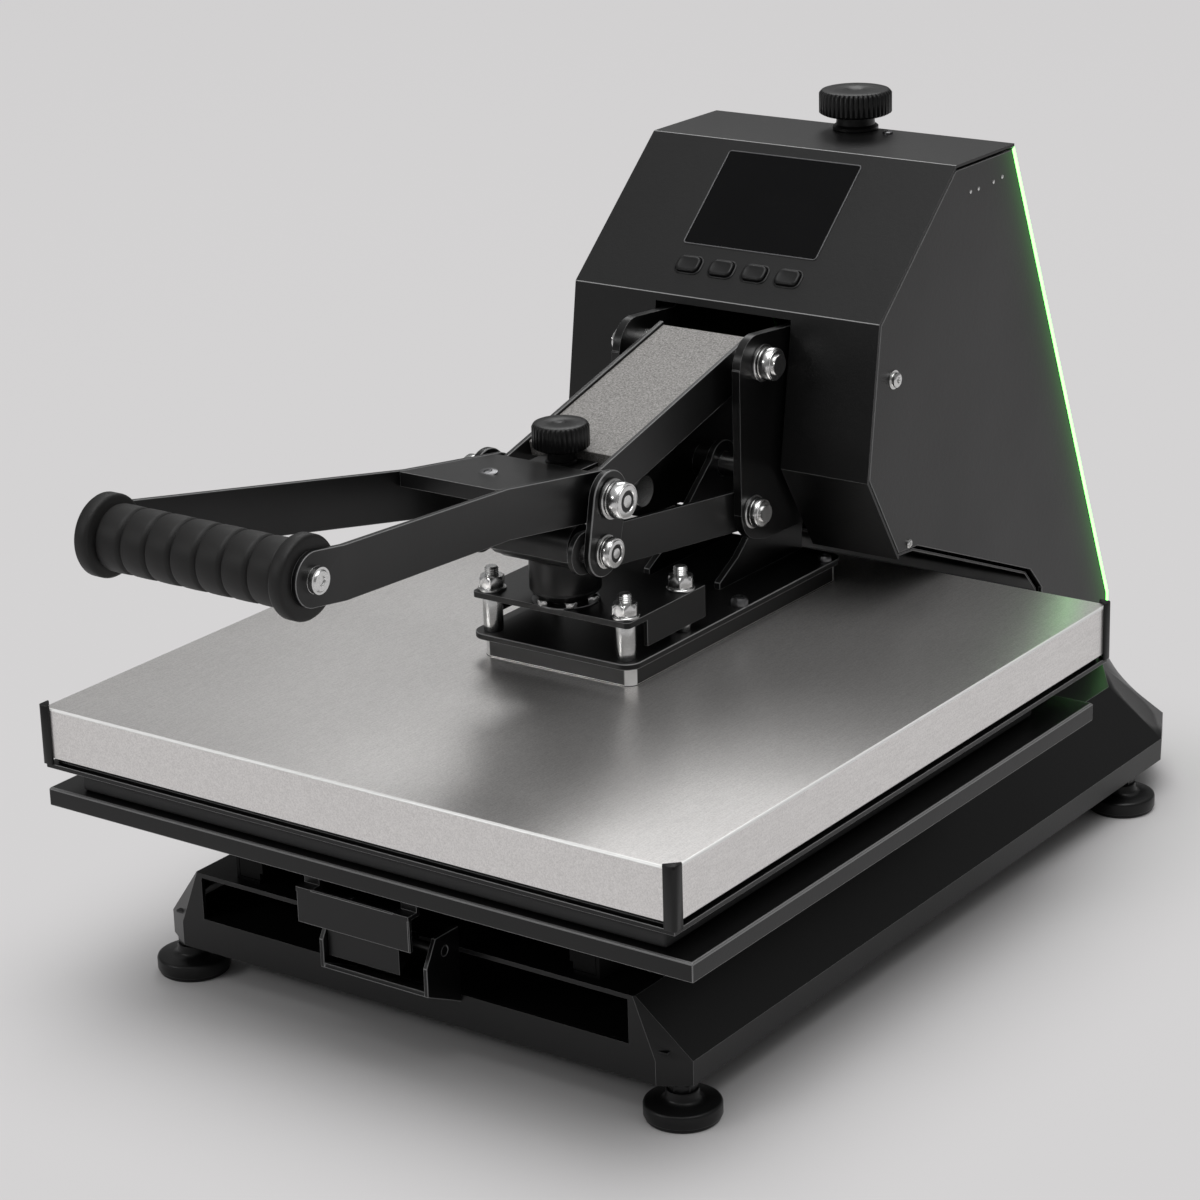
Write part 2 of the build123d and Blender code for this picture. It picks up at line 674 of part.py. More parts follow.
def hinge_shaft():
    outer = CHEEK_INNER_X + CHEEK_SHEET
    shaft = rod_x(HINGE_RADIUS, -outer, outer, HINGE_Y, HINGE_Z)
    tail = outer + WASHER_SHEET + NUT_HEIGHT + 1.0
    shaft += rod_x(HINGE_RADIUS - 1.0, -tail, tail, HINGE_Y, HINGE_Z)
    return shaft


# Housing

def housing_outline():
    return [
        (HOUSING_TOP_REAR_Y, HOUSING_TOP_Z),
        (HOUSING_TOP_FRONT_Y, HOUSING_TOP_Z),
        (HOUSING_FOLD_Y, HOUSING_FOLD_Z),
        (HOUSING_KNEE_Y, HOUSING_KNEE_Z),
        (HOUSING_TOE_Y, HOUSING_TOE_Z),
        (BELLY_START_Y, BELLY_START_Z),
        (BELLY_END_Y, BELLY_END_Z),
        (BELLY_FOOT_Y, BELLY_END_Z - BELLY_RADIUS),
        (BELLY_FOOT_Y, BASE_TOP_Z),
        (HOUSING_REAR_Y, BASE_TOP_Z),
        (HOUSING_REAR_Y, HOUSING_REAR_Z),
    ]


def slope_point(distance, depth):
    """Point on the sloping panel: distance up from its lower fold, depth under its face."""
    dy, dz = unit(HOUSING_TOP_FRONT_Y - HOUSING_FOLD_Y, HOUSING_TOP_Z - HOUSING_FOLD_Z)
    return HOUSING_FOLD_Y + dy * distance + dz * depth, HOUSING_FOLD_Z + dz * distance - dy * depth


def slope_plane(distance, depth, x=0.0):
    y, z = slope_point(distance, depth)
    dy, dz = unit(HOUSING_TOP_FRONT_Y - HOUSING_FOLD_Y, HOUSING_TOP_Z - HOUSING_FOLD_Z)
    return Plane(origin=(x, y, z), x_dir=(1, 0, 0), z_dir=(0, -dz, dy))


def front_cover():
    path = housing_outline()[:5]
    sheet = plate_x(outline(strip_points(path, HOUSING_SHEET)), -HOUSING_HALF_X, HOUSING_HALF_X)
    fold_edges = sheet.edges().filter_by(Axis.X)
    outer = [e for e in fold_edges
             if (round(e.center().Y, 2), round(e.center().Z, 2)) in
             ((HOUSING_TOP_FRONT_Y, HOUSING_TOP_Z), (HOUSING_FOLD_Y, HOUSING_FOLD_Z),
              (HOUSING_KNEE_Y, HOUSING_KNEE_Z))]
    sheet = fillet(outer, 1.4)
    inner = offset(outline(housing_outline()), -HOUSING_SHEET, kind=Kind.INTERSECTION)
    hollow = offset(outline(housing_outline()), -FLANGE_WIDTH, kind=Kind.INTERSECTION)
    ring = inner - hollow
    front_zone = outline([
        (HOUSING_TOE_Y - 60.0, HOUSING_TOE_Z + 4.0),
        (HOUSING_TOE_Y + FLANGE_WIDTH, HOUSING_TOE_Z + 4.0),
        (HOUSING_TOE_Y + FLANGE_WIDTH, HOUSING_FOLD_Z - 6.0),
        (HOUSING_TOP_REAR_Y - 20.0, HOUSING_TOP_Z - FLANGE_WIDTH * 2),
        (HOUSING_TOP_REAR_Y - 8.0, HOUSING_TOP_Z + 10.0),
        (HOUSING_FOLD_Y - 60.0, HOUSING_TOP_Z + 10.0),
    ])
    flange_x = HOUSING_HALF_X - SIDE_INSET
    flange = plate_x(ring & front_zone, flange_x - HOUSING_SHEET, flange_x)
    for side in both_sides(flange):
        sheet += side
    throat_top = THROAT_TOP_Z
    sheet -= block(-THROAT_HALF_X, THROAT_HALF_X, CHEEK_FRONT_Y, HOUSING_TOE_Y + 30.0,
                   HOUSING_TOE_Z - 5.0, throat_top)
    glass = Box(DISPLAY_WIDTH + FIT_GAP * 2, DISPLAY_LENGTH + FIT_GAP * 2, HOUSING_SHEET * 4)
    sheet -= slope_plane(DISPLAY_START + DISPLAY_LENGTH / 2, 0).location * glass
    for x in button_places():
        hole = RectangleRounded(BUTTON_WIDTH + FIT_GAP * 2, BUTTON_LENGTH + FIT_GAP * 2,
                                BUTTON_CORNER + FIT_GAP)
        plane = slope_plane(BUTTON_CENTRE, HOUSING_SHEET * 2, x)
        sheet -= extrude(plane * hole, amount=HOUSING_SHEET * 4)
    sheet -= rod_z(TOP_SPINDLE_RADIUS + SHAFT_CLEARANCE * 2, 0, TOP_KNOB_Y,
                   HOUSING_TOP_Z - HOUSING_SHEET * 2, HOUSING_TOP_Z + 1)
    return sheet


def button_places():
    middle = (BUTTON_COUNT - 1) / 2
    return [(i - middle) * BUTTON_SPACING for i in range(BUTTON_COUNT)]


def side_outline():
    """Side plate: the housing profile set in from the folded cover and the light strip."""
    face = outline(housing_outline())
    inset = offset(face, -SIDE_INSET, kind=Kind.INTERSECTION)
    foot_face = Pos((BELLY_FOOT_Y + HOUSING_REAR_Y) / 2, BASE_TOP_Z + SIDE_INSET) * Rectangle(
        HOUSING_REAR_Y - BELLY_FOOT_Y - SIDE_INSET * 2, SIDE_INSET * 2)
    return inset + foot_face


def side_cover(side):
    x0 = HOUSING_HALF_X - SIDE_INSET
    x1 = HOUSING_HALF_X - 0.6
    return plate_x(side_outline(), side * x0, side * x1)


def rear_top_point():
    """Point on the sloping rear line just under the sheet of the folded cover."""
    drop = HOUSING_SHEET + FIT_GAP
    share = drop / (HOUSING_TOP_Z - HOUSING_REAR_Z)
    return HOUSING_TOP_REAR_Y + share * (HOUSING_REAR_Y - HOUSING_TOP_REAR_Y), HOUSING_TOP_Z - drop


def rear_cover():
    path = [(HOUSING_REAR_Y, BASE_TOP_Z), (HOUSING_REAR_Y, HOUSING_REAR_Z), rear_top_point()]
    half = HOUSING_HALF_X - SIDE_INSET
    sheet = plate_x(outline(strip_points(path, HOUSING_SHEET)), -half, half)
    plane = rear_plane()
    for row in range(LOUVRE_COUNT):
        slot = Rectangle(LOUVRE_LENGTH, LOUVRE_WIDTH)
        place = plane.location * Pos(0, LOUVRE_START + row * LOUVRE_PITCH, 0)
        sheet -= extrude(place * slot, amount=HOUSING_SHEET * 6, both=True)
    for x in (INLET_X, SWITCH_X):
        hole = Rectangle(SOCKET_WIDTH + FIT_GAP, SOCKET_HEIGHT + FIT_GAP)
        sheet -= extrude(plane.location * Pos(x, INLET_Z - HOUSING_REAR_Z, 0) * hole,
                         amount=HOUSING_SHEET * 6, both=True)
    return sheet


def rear_plane():
    dy, dz = unit(HOUSING_TOP_REAR_Y - HOUSING_REAR_Y, HOUSING_TOP_Z - HOUSING_REAR_Z)
    return Plane(origin=(0, HOUSING_REAR_Y, HOUSING_REAR_Z), x_dir=(1, 0, 0), z_dir=(0, -dz, dy))


def belly_panel():
    path = [
        (HOUSING_TOE_Y + 2.0, HOUSING_TOE_Z),
        (BELLY_START_Y, BELLY_START_Z),
        (BELLY_END_Y, BELLY_END_Z),
        (BELLY_FOOT_Y, BELLY_END_Z - BELLY_RADIUS),
        (BELLY_FOOT_Y, BASE_TOP_Z),
    ]
    half = HOUSING_HALF_X - SIDE_INSET
    sheet = plate_x(outline(strip_points(path, HOUSING_SHEET)), -half, half)
    return sheet - block(-THROAT_HALF_X, THROAT_HALF_X, 0, BELLY_START_Y + 55.0,
                         BELLY_END_Z, HOUSING_TOE_Z + 20.0)


def light_strips():
    path = [(HOUSING_REAR_Y, BASE_TOP_Z + 8.0), (HOUSING_REAR_Y, HOUSING_REAR_Z), rear_top_point()]
    x0 = HOUSING_HALF_X - SIDE_INSET
    strip = plate_x(outline(strip_points(path, STRIP_DEPTH)), x0, x0 + STRIP_WIDTH)
    return group(both_sides(strip))


def display_window():
    plane = slope_plane(DISPLAY_START + DISPLAY_LENGTH / 2, -DISPLAY_PROUD)
    glass = RectangleRounded(DISPLAY_WIDTH, DISPLAY_LENGTH, 1.2)
    return extrude(plane * glass, amount=-(DISPLAY_GLASS + DISPLAY_PROUD))


def control_board():
    start = BUTTON_CENTRE - BUTTON_LENGTH
    length = DISPLAY_START + DISPLAY_LENGTH - start
    plane = slope_plane(start + length / 2, BOARD_DROP)
    board = extrude(plane * Rectangle(DISPLAY_WIDTH + 14.0, length), amount=-BOARD_SHEET)
    screen = slope_plane(DISPLAY_START + DISPLAY_LENGTH / 2, BOARD_DROP)
    back = extrude(screen * Rectangle(DISPLAY_WIDTH - 4.0, DISPLAY_LENGTH - 4.0),
                   amount=BOARD_DROP - DISPLAY_GLASS)
    posts = []
    for x in (-DISPLAY_WIDTH / 2 - 3.5, DISPLAY_WIDTH / 2 + 3.5):
        for s in (start + 4.0, start + length - 4.0):
            plane = slope_plane(s, HOUSING_SHEET, x)
            posts.append(extrude(plane * Rectangle(5.0, 5.0), amount=-(BOARD_DROP - HOUSING_SHEET)))
    solid = board + back
    for post in posts:
        solid += post
    return solid


def button(x):
    plane = slope_plane(BUTTON_CENTRE, -BUTTON_PROUD, x)
    cap = extrude(plane * RectangleRounded(BUTTON_WIDTH, BUTTON_LENGTH, BUTTON_CORNER),
                  amount=-(BUTTON_PROUD + HOUSING_SHEET + 1.0))
    stem_plane = slope_plane(BUTTON_CENTRE, HOUSING_SHEET + 1.0, x)
    depth = BOARD_DROP - HOUSING_SHEET - 1.0 - 1.5
    return cap + extrude(stem_plane * Rectangle(BUTTON_STEM, BUTTON_STEM), amount=-depth)


def power_inlet():
    plane = rear_plane()
    body = extrude(plane.location * Pos(INLET_X, INLET_Z - HOUSING_REAR_Z, 0)
                   * Rectangle(SOCKET_WIDTH, SOCKET_HEIGHT), amount=22.0)
    rim = extrude(plane.location * Pos(INLET_X, INLET_Z - HOUSING_REAR_Z, 0)
                  * RectangleRounded(SOCKET_WIDTH + 8.0, SOCKET_HEIGHT + 8.0, 3.0), amount=-2.0)
    cavity = extrude(plane.location * Pos(INLET_X, INLET_Z - HOUSING_REAR_Z, -3.0)
                     * RectangleRounded(SOCKET_WIDTH - 5.0, SOCKET_HEIGHT - 5.0, 2.0), amount=18.0)
    solid = body + rim - cavity
    for dx, dy in ((-7.0, -2.0), (7.0, -2.0), (0.0, 3.0)):
        blade = extrude(plane.location * Pos(INLET_X + dx, INLET_Z - HOUSING_REAR_Z + dy, 15.5)
                        * Rectangle(2.0, 4.5), amount=-13.0)
        solid += blade
    return solid


def switch_frame():
    plane = rear_plane()
    body = extrude(plane.location * Pos(SWITCH_X, INLET_Z - HOUSING_REAR_Z, 0)
                   * Rectangle(SOCKET_WIDTH, SOCKET_HEIGHT), amount=16.0)
    rim = extrude(plane.location * Pos(SWITCH_X, INLET_Z - HOUSING_REAR_Z, 0)
                  * RectangleRounded(SOCKET_WIDTH + 5.0, SOCKET_HEIGHT + 5.0, 2.0), amount=-1.6)
    cavity = extrude(plane.location * Pos(SWITCH_X, INLET_Z - HOUSING_REAR_Z, -3.0)
                     * Rectangle(SOCKET_WIDTH - 4.0, SOCKET_HEIGHT - 4.0), amount=15.0)
    return body + rim - cavity


def power_switch():
    plane = rear_plane()
    half = (SOCKET_WIDTH - 7.0) / 2
    profile = outline([(-half, 1.2), (-half, -4.2), (0, -2.2), (half, -1.4), (half, 1.2), (0, 6.0)])
    width = SOCKET_HEIGHT - 5.0
    local = extrude(Plane.XZ * profile, amount=width / 2, both=True)
    pivot = Plane.XZ * Pos(0, ROCKER_PIVOT_DEPTH) * Circle(ROCKER_PIVOT_RADIUS)
    local += extrude(pivot, amount=width / 2 + FIT_GAP, both=True)
    return plane.location * Pos(SWITCH_X, INLET_Z - HOUSING_REAR_Z, 0) * local


# Knobs

def knob_cap(radius, height):
    crown = KNOB_CROWN
    return revolve(Plane.XZ * outline([
        (0, 0), (radius, 0), (radius, height - crown), (radius - crown, height), (0, height),
    ]), axis=Axis.Z)


def top_knob():
    base = HOUSING_TOP_Z + FOOT_CLEARANCE
    cap_z = base + TOP_NECK_HEIGHT
    neck = revolve(Plane.XZ * outline([
        (0, 0), (TOP_NECK_RADIUS + 2.0, 0), (TOP_NECK_RADIUS, TOP_NECK_HEIGHT), (0, TOP_NECK_HEIGHT),
    ]), axis=Axis.Z)
    spindle = rod_z(TOP_SPINDLE_RADIUS, 0, 0, CHEEK_TOP_Z - 30.0 - base, 0)
    knob = neck + spindle + Pos(0, 0, TOP_NECK_HEIGHT) * knob_cap(TOP_KNOB_RADIUS, TOP_KNOB_HEIGHT)
    return Pos(0, TOP_KNOB_Y, base) * knob


def cross_height(y):
    """Height of the handle bars' centre line."""
    share = (y - TOGGLE_Y) / (GRIP_Y - TOGGLE_Y)
    return TOGGLE_Z + share * (GRIP_Z - TOGGLE_Z)


def pressure_knob():
    base = CROSS_TONGUE_TOP_Z + FOOT_CLEARANCE
    neck = rod_z(PRESSURE_NECK_RADIUS, 0, 0, 0, PRESSURE_NECK_HEIGHT)
    spindle = rod_z(PRESSURE_SPINDLE_RADIUS, 0, 0, -CROSS_SHEET * 2, 0)
    cap = Pos(0, 0, PRESSURE_NECK_HEIGHT) * knob_cap(PRESSURE_KNOB_RADIUS, PRESSURE_KNOB_HEIGHT)
    return Pos(0, PRESSURE_KNOB_Y, base) * (neck + spindle + cap)


# Head

def head_cover():
    outer = block(-COVER_HALF_X, COVER_HALF_X, COVER_FRONT_Y, COVER_REAR_Y, COVER_BOTTOM_Z, COVER_TOP_Z)
    outer = fillet(outer.edges().filter_by(Axis.Z), 1.0)
    outer = fillet(outer.edges().group_by(Axis.Z)[-1], COVER_BEND / 2)
    boss = block(-BOSS_HALF_X, BOSS_HALF_X, BOSS_FRONT_Y, BOSS_REAR_Y, COVER_TOP_Z - 2.0, BOSS_TOP_Z)
    boss = fillet(boss.edges().filter_by(Axis.Z), PLATE_CORNER - 3.0)
    inner = block(-COVER_HALF_X + COVER_SHEET, COVER_HALF_X - COVER_SHEET,
                  COVER_FRONT_Y + COVER_SHEET, COVER_REAR_Y - COVER_SHEET,
                  COVER_BOTTOM_Z, COVER_TOP_Z - COVER_SHEET)
    under_boss = block(-BOSS_HALF_X + 3.0, BOSS_HALF_X - 3.0, BOSS_FRONT_Y + 3.0, BOSS_REAR_Y - 3.0,
                       COVER_TOP_Z - COVER_SHEET - 1.0, BOSS_TOP_Z - COVER_SHEET)
    return outer + boss - inner - under_boss


def bottom_tray():
    lip = block(-COVER_HALF_X, COVER_HALF_X, COVER_FRONT_Y, COVER_REAR_Y,
                TRAY_BOTTOM_Z, TRAY_BOTTOM_Z + TRAY_SHEET)
    x = COVER_HALF_X - TRAY_RIM_INSET
    rim_outer = block(-x, x, COVER_FRONT_Y + TRAY_RIM_INSET, COVER_REAR_Y - TRAY_RIM_INSET,
                      TRAY_BOTTOM_Z, TRAY_RIM_TOP_Z)
    wall = TRAY_SHEET
    rim_inner = block(-x + wall, x - wall, COVER_FRONT_Y + TRAY_RIM_INSET + wall,
                      COVER_REAR_Y - TRAY_RIM_INSET - wall,
                      TRAY_BOTTOM_Z + TRAY_SHEET, TRAY_RIM_TOP_Z)
    mouth = block(-HEAT_HALF_X - FIT_GAP, HEAT_HALF_X + FIT_GAP, HEAT_FRONT_Y - FIT_GAP,
                  HEAT_REAR_Y + FIT_GAP, TRAY_BOTTOM_Z - 1, TRAY_RIM_TOP_Z)
    ledge_x = COVER_HALF_X - COVER_SHEET
    ledge = block(-ledge_x, ledge_x, COVER_FRONT_Y + COVER_SHEET, COVER_REAR_Y - COVER_SHEET,
                  COVER_BOTTOM_Z + 1.0, COVER_BOTTOM_Z + 3.0)
    return lip + rim_outer + ledge - rim_inner - mouth


def heating_platen():
    bottom = PAD_TOP_Z + PRESS_GAP
    slab = block(-HEAT_HALF_X, HEAT_HALF_X, HEAT_FRONT_Y, HEAT_REAR_Y, bottom, bottom + HEAT_THICK)
    slab = chamfer(slab.edges().group_by(Axis.Z)[0], 1.0)
    flange_z = TRAY_BOTTOM_Z + TRAY_SHEET
    x = HEAT_HALF_X + 3.0
    lugs = block(-x, x, HEAT_FRONT_Y + 20.0, HEAT_REAR_Y - 20.0, flange_z, flange_z + 3.0)
    return slab + lugs


def heating_element():
    """Flat serpentine strip: straight runs along Y joined by square turns."""
    x = HEAT_HALF_X - ELEMENT_INSET
    pitch = 2 * x / (ELEMENT_RUNS - 1)
    low = HEAT_FRONT_Y + ELEMENT_INSET
    high = HEAT_REAR_Y - ELEMENT_INSET
    path = []
    for run in range(ELEMENT_RUNS):
        ends = (low, high) if run % 2 == 0 else (high, low)
        path += [(run * pitch - x, end) for end in ends]
    section = make_face(Polyline(*strip_points(path, ELEMENT_WIDTH), close=True))
    bottom = PAD_TOP_Z + PRESS_GAP + HEAT_THICK
    return extrude(Pos(0, 0, bottom) * section, amount=ELEMENT_THICK)


def insulation_blanket():
    z0 = PAD_TOP_Z + PRESS_GAP + HEAT_THICK + ELEMENT_THICK
    inset = TRAY_RIM_INSET + TRAY_SHEET + BLANKET_GAP
    x = COVER_HALF_X - inset
    return block(-x, x, COVER_FRONT_Y + inset, COVER_REAR_Y - inset, z0, COVER_TOP_Z - COVER_SHEET)


def corner_trims():
    trims = []
    bottom = TRAY_BOTTOM_Z + TRAY_SHEET
    for sx in (-1, 1):
        for y, sy in ((COVER_FRONT_Y, -1), (COVER_REAR_Y, 1)):
            x = sx * COVER_HALF_X
            outer = block(x + sx * TRIM_SHEET, x - sx * TRIM_LEG, y + sy * TRIM_SHEET,
                          y - sy * TRIM_LEG, bottom, TRIM_TOP_Z)
            inner = block(x, x - sx * (TRIM_LEG + 1), y, y - sy * (TRIM_LEG + 1),
                          bottom - 1, TRIM_TOP_Z + 1)
            ear = block(x, x - sx * 4.0, y, y - sy * 4.0, COVER_TOP_Z, TRIM_TOP_Z)
            trim = outer - inner
            corner = [e for e in trim.edges().filter_by(Axis.Z)
                      if abs(e.center().X - (x + sx * TRIM_SHEET)) < 0.01
                      and abs(e.center().Y - (y + sy * TRIM_SHEET)) < 0.01]
            trims.append(chamfer(corner, 0.7) + ear)
    return group(trims)


def centre_plate():
    z = BOSS_TOP_Z
    plate = block(-PLATE_HALF_X, PLATE_HALF_X, PLATE_FRONT_Y, PLATE_REAR_Y, z, z + PLATE_SHEET)
    return fillet(plate.edges().filter_by(Axis.Z), PLATE_CORNER)


def ear_outline():
    z = BOSS_TOP_Z + PLATE_SHEET
    return [
        (LOWER_Y - 9.0, z),
        (LOWER_Y - 9.0, z + 4.0),
        (LOWER_Y + 10.0, z + 14.0),
        (LOWER_Y + 30.0, z + 30.0),
        (HINGE_Y - EAR_BOSS_RADIUS * 0.8, HINGE_Z + EAR_BOSS_RADIUS * 0.5),
        (HINGE_Y + EAR_BOSS_RADIUS, HINGE_Z),
        (PLATE_REAR_Y - 2.0, z + 8.0),
        (PLATE_REAR_Y - 2.0, z),
    ]


def hinge_ears():
    face = outline(ear_outline())
    face += Pos(HINGE_Y, HINGE_Z) * Circle(EAR_BOSS_RADIUS)
    face -= Pos(HINGE_Y, HINGE_Z) * Circle(HINGE_RADIUS + SHAFT_CLEARANCE)
    ear = plate_x(face, EAR_INNER_X, EAR_INNER_X + EAR_SHEET)
    bush = rod_x(HINGE_RADIUS + 3.5, EAR_INNER_X + EAR_SHEET, CHEEK_INNER_X - SHAFT_CLEARANCE, HINGE_Y, HINGE_Z)
    bush -= rod_x(HINGE_RADIUS + SHAFT_CLEARANCE, EAR_INNER_X, CHEEK_INNER_X, HINGE_Y, HINGE_Z)
    return group(both_sides(ear + bush))


def hanger_bracket():
    top = block(-BRACKET_HALF_X, BRACKET_HALF_X, PLATE_FRONT_Y + 1.0, BRACKET_REAR_Y,
                BRACKET_TOP_Z - BRACKET_SHEET, BRACKET_TOP_Z)
    top = fillet(top.edges().filter_by(Axis.Z).group_by(Axis.Y)[0], 3.0)
    side_path = outline([
        (STUD_FRONT_Y + SLEEVE_RADIUS + 4.0, BRACKET_TOP_Z - BRACKET_SHEET),
        (STUD_FRONT_Y + SLEEVE_RADIUS + 4.0, BRACKET_TOP_Z - BRACKET_DROP),
        (BRACKET_REAR_Y, BRACKET_TOP_Z - BRACKET_DROP),
        (BRACKET_REAR_Y, BRACKET_TOP_Z - BRACKET_SHEET),
    ])
    flange = plate_x(side_path, BRACKET_HALF_X - 2.4, BRACKET_HALF_X)
    bracket = top
    for side in both_sides(flange):
        bracket += side
    for x, y in stud_places():
        bracket -= rod_z(STUD_RADIUS + SHAFT_CLEARANCE, x, y, BRACKET_TOP_Z - 10.0, BRACKET_TOP_Z + 1)
    return bracket


def stud_places():
    return [(sx * STUD_X, y) for y in (STUD_FRONT_Y, STUD_REAR_Y) for sx in (-1, 1)]


def hanger_studs():
    plate_top = BOSS_TOP_Z + PLATE_SHEET
    under = BRACKET_TOP_Z - BRACKET_SHEET
    solids = []
    for x, y in stud_places():
        end = BRACKET_TOP_Z + NUT_HEIGHT + STUD_PROUD
        stud = rod_z(STUD_RADIUS, x, y, under, end)
        sleeve = rod_z(SLEEVE_RADIUS, x, y, plate_top, under)
        nut = hex_z(NUT_FLATS, x, y, BRACKET_TOP_Z, BRACKET_TOP_Z + NUT_HEIGHT)
        solids.append(stud + sleeve + nut)
    return group(solids)


def pressure_hub():
    profile = outline([
        (0, 0), (HUB_STEM_RADIUS, 0), (HUB_STEM_RADIUS, HUB_BOTTOM_Z - BRACKET_TOP_Z),
        (HUB_RADIUS - HUB_CHAMFER, HUB_BOTTOM_Z - BRACKET_TOP_Z),
        (HUB_RADIUS, HUB_BOTTOM_Z - BRACKET_TOP_Z + HUB_CHAMFER),
        (HUB_RADIUS, HUB_TOP_Z - BRACKET_TOP_Z), (0, HUB_TOP_Z - BRACKET_TOP_Z),
    ])
    return Pos(0, PRESSURE_KNOB_Y, BRACKET_TOP_Z) * revolve(Plane.XZ * profile, axis=Axis.Z)


def hub_yoke():
    profile = outline([
        (PRESSURE_KNOB_Y - HUB_RADIUS, HUB_TOP_Z),
        (PRESSURE_KNOB_Y + HUB_RADIUS * 0.8, HUB_TOP_Z),
        (PRESSURE_KNOB_Y + HUB_RADIUS * 0.8, HUB_TOP_Z + 6.0),
        (CRANK_Y + YOKE_RADIUS, CRANK_Z + 2.0),
        (CRANK_Y - YOKE_RADIUS, CRANK_Z),
        (CRANK_Y - YOKE_RADIUS, CRANK_Z - 6.0),
    ])
    face = profile + Pos(CRANK_Y, CRANK_Z) * Circle(YOKE_RADIUS)
    yoke = plate_x(face, -YOKE_HALF_X, YOKE_HALF_X)
    yoke += rod_x(YOKE_PIN_RADIUS, -YOKE_PIN_X, YOKE_PIN_X, CRANK_Y, CRANK_Z)
    return yoke + rod_x(YOKE_TIP_RADIUS, -YOKE_TIP_X, YOKE_TIP_X, CRANK_Y, CRANK_Z)


# Linkage and lever

def lower_arms():
    reach = unit(CRANK_Y - LOWER_Y, CRANK_Z - LOWER_Z)
    nose = (CRANK_Y + reach[0] * LOWER_ARM_SLOT, CRANK_Z + reach[1] * LOWER_ARM_SLOT)
    face = bar_face((LOWER_Y, LOWER_Z), nose, LOWER_ARM_RADIUS)
    face -= Pos(LOWER_Y, LOWER_Z) * Circle(BOLT_RADIUS + SHAFT_CLEARANCE)
    face -= bar_face((CRANK_Y, CRANK_Z), nose, YOKE_TIP_RADIUS + SLOT_GAP)
    arm = plate_x(face, LOWER_ARM_INNER_X, LOWER_ARM_INNER_X + LOWER_ARM_SHEET)
    return group(both_sides(arm))


def link_plates():
    face = bar_face((TOGGLE_Y, TOGGLE_Z), (CRANK_Y, CRANK_Z), LINK_RADIUS - 1.0, LINK_RADIUS)
    face -= Pos(TOGGLE_Y, TOGGLE_Z) * Circle(BOLT_RADIUS + SHAFT_CLEARANCE)
    plate = plate_x(face, LINK_INNER_X, LINK_INNER_X + LINK_SHEET)
    return group(both_sides(plate))


def crank_bolts():
    """Bolts of the lower link pivots; their inner ends stop at the link plates."""
    outer = LINK_INNER_X + LINK_SHEET
    bolt = nut_and_washer(outer, CRANK_Y, CRANK_Z, BOLT_RADIUS)
    bolt += rod_x(BOLT_RADIUS, outer, outer + WASHER_SHEET + NUT_HEIGHT + 1.2, CRANK_Y, CRANK_Z)
    return group(both_sides(bolt))


def upper_arm():
    reach = unit(TOGGLE_Y - UPPER_Y, TOGGLE_Z - UPPER_Z)
    rise = (reach[1], -reach[0])
    length = math.hypot(TOGGLE_Y - UPPER_Y, TOGGLE_Z - UPPER_Z)

    def place(along, up):
        return (UPPER_Y + reach[0] * along + rise[0] * up, UPPER_Z + reach[1] * along + rise[1] * up)

    side = outline([
        place(-ARM_TAIL, ARM_TOP), place(-ARM_TAIL, -ARM_BOTTOM_REAR),
        place(length, -ARM_BOTTOM_FRONT + 3.0), place(length + ARM_NOSE, -6.0),
        place(length + ARM_NOSE, 6.0), place(length, ARM_TOP),
    ])
    side -= Pos(UPPER_Y, UPPER_Z) * Circle(SHAFT_RADIUS + SHAFT_CLEARANCE)
    side -= Pos(TOGGLE_Y, TOGGLE_Z) * Circle(BOLT_RADIUS)
    flange = plate_x(side, ARM_OUTER_X - ARM_SHEET, ARM_OUTER_X)
    web_top = ARM_TOP - 1.6 - ARM_COVER_SHEET
    web = plate_x(outline([
        place(SHAFT_RADIUS + 2.0, web_top), place(SHAFT_RADIUS + 2.0, web_top - ARM_SHEET),
        place(length - ARM_COVER_FRONT, web_top - ARM_SHEET), place(length - ARM_COVER_FRONT, web_top),
    ]), -ARM_OUTER_X + ARM_SHEET, ARM_OUTER_X - ARM_SHEET)
    arm = web
    for piece in both_sides(flange):
        arm += piece
    return arm


def arm_cover():
    reach = unit(TOGGLE_Y - UPPER_Y, TOGGLE_Z - UPPER_Z)
    rise = (reach[1], -reach[0])
    length = math.hypot(TOGGLE_Y - UPPER_Y, TOGGLE_Z - UPPER_Z)
    top = ARM_TOP - 1.6

    def place(along, up):
        return (UPPER_Y + reach[0] * along + rise[0] * up, UPPER_Z + reach[1] * along + rise[1] * up)

    path = [
        place(-ARM_TAIL + 1.0, top),
        place(length - ARM_COVER_FRONT + 2.2, top),
        place(length - ARM_COVER_FRONT + 2.2, top - 9.0),
    ]
    half = ARM_OUTER_X - ARM_SHEET - 0.2
    return plate_x(outline(strip_points(path, ARM_COVER_SHEET)), -half, half)


